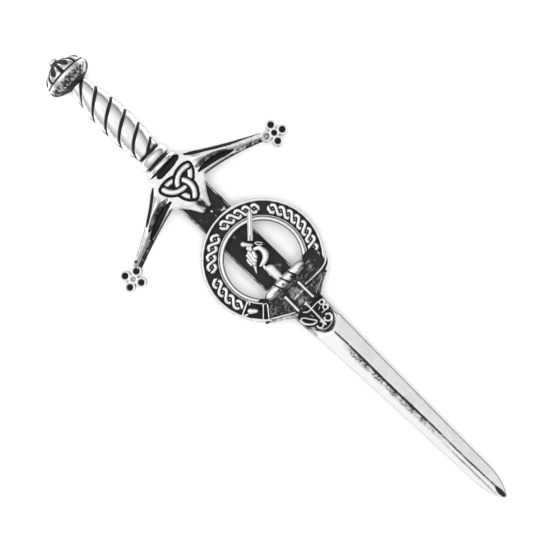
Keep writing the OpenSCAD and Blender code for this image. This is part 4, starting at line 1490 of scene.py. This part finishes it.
def make_floor(studio):
    """Pale matt floor, one metre square, at the height of the pin's feet."""
    mesh = bpy.data.meshes.new("floor")
    side = 0.5
    corners = [(-side, -side, 0), (side, -side, 0), (side, side, 0), (-side, side, 0)]
    mesh.from_pydata(corners, [], [(0, 1, 2, 3)])
    material = bpy.data.materials.new("pale_floor")
    material.use_nodes = True
    tree = material.node_tree
    shader = tree.nodes["Principled BSDF"]
    shader.inputs["Roughness"].default_value = 0.9
    shader.inputs["Specular IOR Level"].default_value = 0.1
    place = node_of(tree, "TexCoord")
    noise = node_of(tree, "TexNoise", Scale=300.0, Detail=2.0)
    tone = tuple(studio.floor)
    tint = ramp_of(tree, noise.outputs["Fac"], [
        (0.3, tuple(0.99 * c for c in tone)), (0.7, tone)
    ])
    link(
        tree,
        (place.outputs["Object"], noise.inputs["Vector"]),
        (tint.outputs["Color"], shader.inputs["Base Color"]),
    )
    mesh.materials.append(material)
    floor = bpy.data.objects.new("floor", mesh)
    bpy.context.scene.collection.objects.link(floor)


def make_lights(studio):
    """Pale surroundings, dark at the horizon and bright overhead, and two soft lights.

    The sky's brightness goes by the direction's z less 0.12 y, so it is brighter on one side.
    """
    world = bpy.data.worlds.new("studio")
    bpy.context.scene.world = world
    world.use_nodes = True
    tree = world.node_tree
    background = tree.nodes["Background"]
    place = node_of(tree, "TexCoord")
    parts = node_of(tree, "SeparateXYZ")
    leaning = node_of(tree, "Math", operation="MULTIPLY_ADD")
    leaning.inputs[1].default_value = -0.12
    shade = ramp_of(tree, leaning.outputs[0], [
        (0.05, 0.12), (0.3, 0.42), (0.6, 0.66), (0.8, 0.76), (0.9, 1.0), (0.98, 0.86)
    ])
    link(
        tree,
        (place.outputs["Generated"], parts.inputs["Vector"]),
        (parts.outputs["Y"], leaning.inputs[0]),
        (parts.outputs["Z"], leaning.inputs[2]),
        (shade.outputs["Color"], background.inputs["Color"]),
    )
    background.inputs["Strength"].default_value = 1.15
    bpy.context.scene.view_settings.view_transform = "Standard"
    # Rows: name, place, side, power, whether the metal mirrors it
    lights = [
        ("overhead", (0.0, 0.0, 0.7), 0.3, studio.softbox, False),
        ("key", (-0.25, -0.2, 0.45), 0.3, 0.1 * studio.softbox, True),
    ]
    for name, place_at, size, power, mirrored in lights:
        light = bpy.data.lights.new(name, "AREA")
        light.size = size
        light.energy = power
        lamp = bpy.data.objects.new(name, light)
        lamp.location = place_at
        lamp.visible_glossy = mirrored
        lamp.rotation_euler = aimed_at(place_at, (0, 0, 0))
        bpy.context.scene.collection.objects.link(lamp)


def aimed_at(place, target):
    """Euler turn that points -Z from a place to a target."""
    return (Vector(target) - Vector(place)).to_track_quat("-Z", "Y").to_euler()


def make_camera(studio):
    """Camera straight above the pin, turned so that the sword runs down to the right."""
    camera = bpy.data.cameras.new("camera")
    camera.lens = studio.lens
    camera.sensor_width = 36.0
    camera.clip_start, camera.clip_end = 0.01, 5.0
    eye = bpy.data.objects.new("camera", camera)
    distance = studio.view_width * camera.lens / camera.sensor_width
    front = (BACK + GUARD_HEIGHT) * MM
    eye.location = ((START + VIEW_STATION) * MM, VIEW_Y * MM, front + distance)
    eye.rotation_euler = (0, 0, studio.turn)
    bpy.context.scene.collection.objects.link(eye)
    bpy.context.scene.camera = eye


class KILTPIN_PT_panel(bpy.types.Panel):
    """The pin's settings and the buttons that make it."""

    bl_label = "Kilt Pin"
    bl_idname = "KILTPIN_PT_panel"
    bl_space_type = "VIEW_3D"
    bl_region_type = "UI"
    bl_category = "Kilt Pin"

    def draw(self, context):
        layout = self.layout
        scene = context.scene
        for group in (scene.kilt_pin_form, scene.kilt_pin_finish, scene.kilt_pin_studio):
            box = layout.box()
            for name in group.__annotations__:
                box.prop(group, name)
        for operator in OPERATORS:
            layout.operator(operator.bl_idname)


OPERATORS = (
    KILTPIN_OT_pommel, KILTPIN_OT_grip, KILTPIN_OT_collar, KILTPIN_OT_guard, KILTPIN_OT_blade,
    KILTPIN_OT_strap, KILTPIN_OT_crest, KILTPIN_OT_brooch_pin, KILTPIN_OT_stage,
)
GROUPS = {
    "kilt_pin_form": KiltPinForm,
    "kilt_pin_finish": KiltPinFinish,
    "kilt_pin_studio": KiltPinStudio,
}


def register():
    """Registers the settings, the operators and the panel."""
    for name, group in GROUPS.items():
        bpy.utils.register_class(group)
        setattr(bpy.types.Scene, name, bpy.props.PointerProperty(type=group))
    for cls in (*OPERATORS, KILTPIN_PT_panel):
        bpy.utils.register_class(cls)


def unregister():
    """Takes the panel, the operators and the settings away again."""
    for cls in reversed((*OPERATORS, KILTPIN_PT_panel)):
        bpy.utils.unregister_class(cls)
    for name, group in GROUPS.items():
        delattr(bpy.types.Scene, name)
        bpy.utils.unregister_class(group)


def main():
    """Registers everything and builds the pin and its stage."""
    register()
    for operator in OPERATORS:
        group, name = operator.bl_idname.split(".")
        getattr(getattr(bpy.ops, group), name)()


if __name__ == "__main__":
    main()
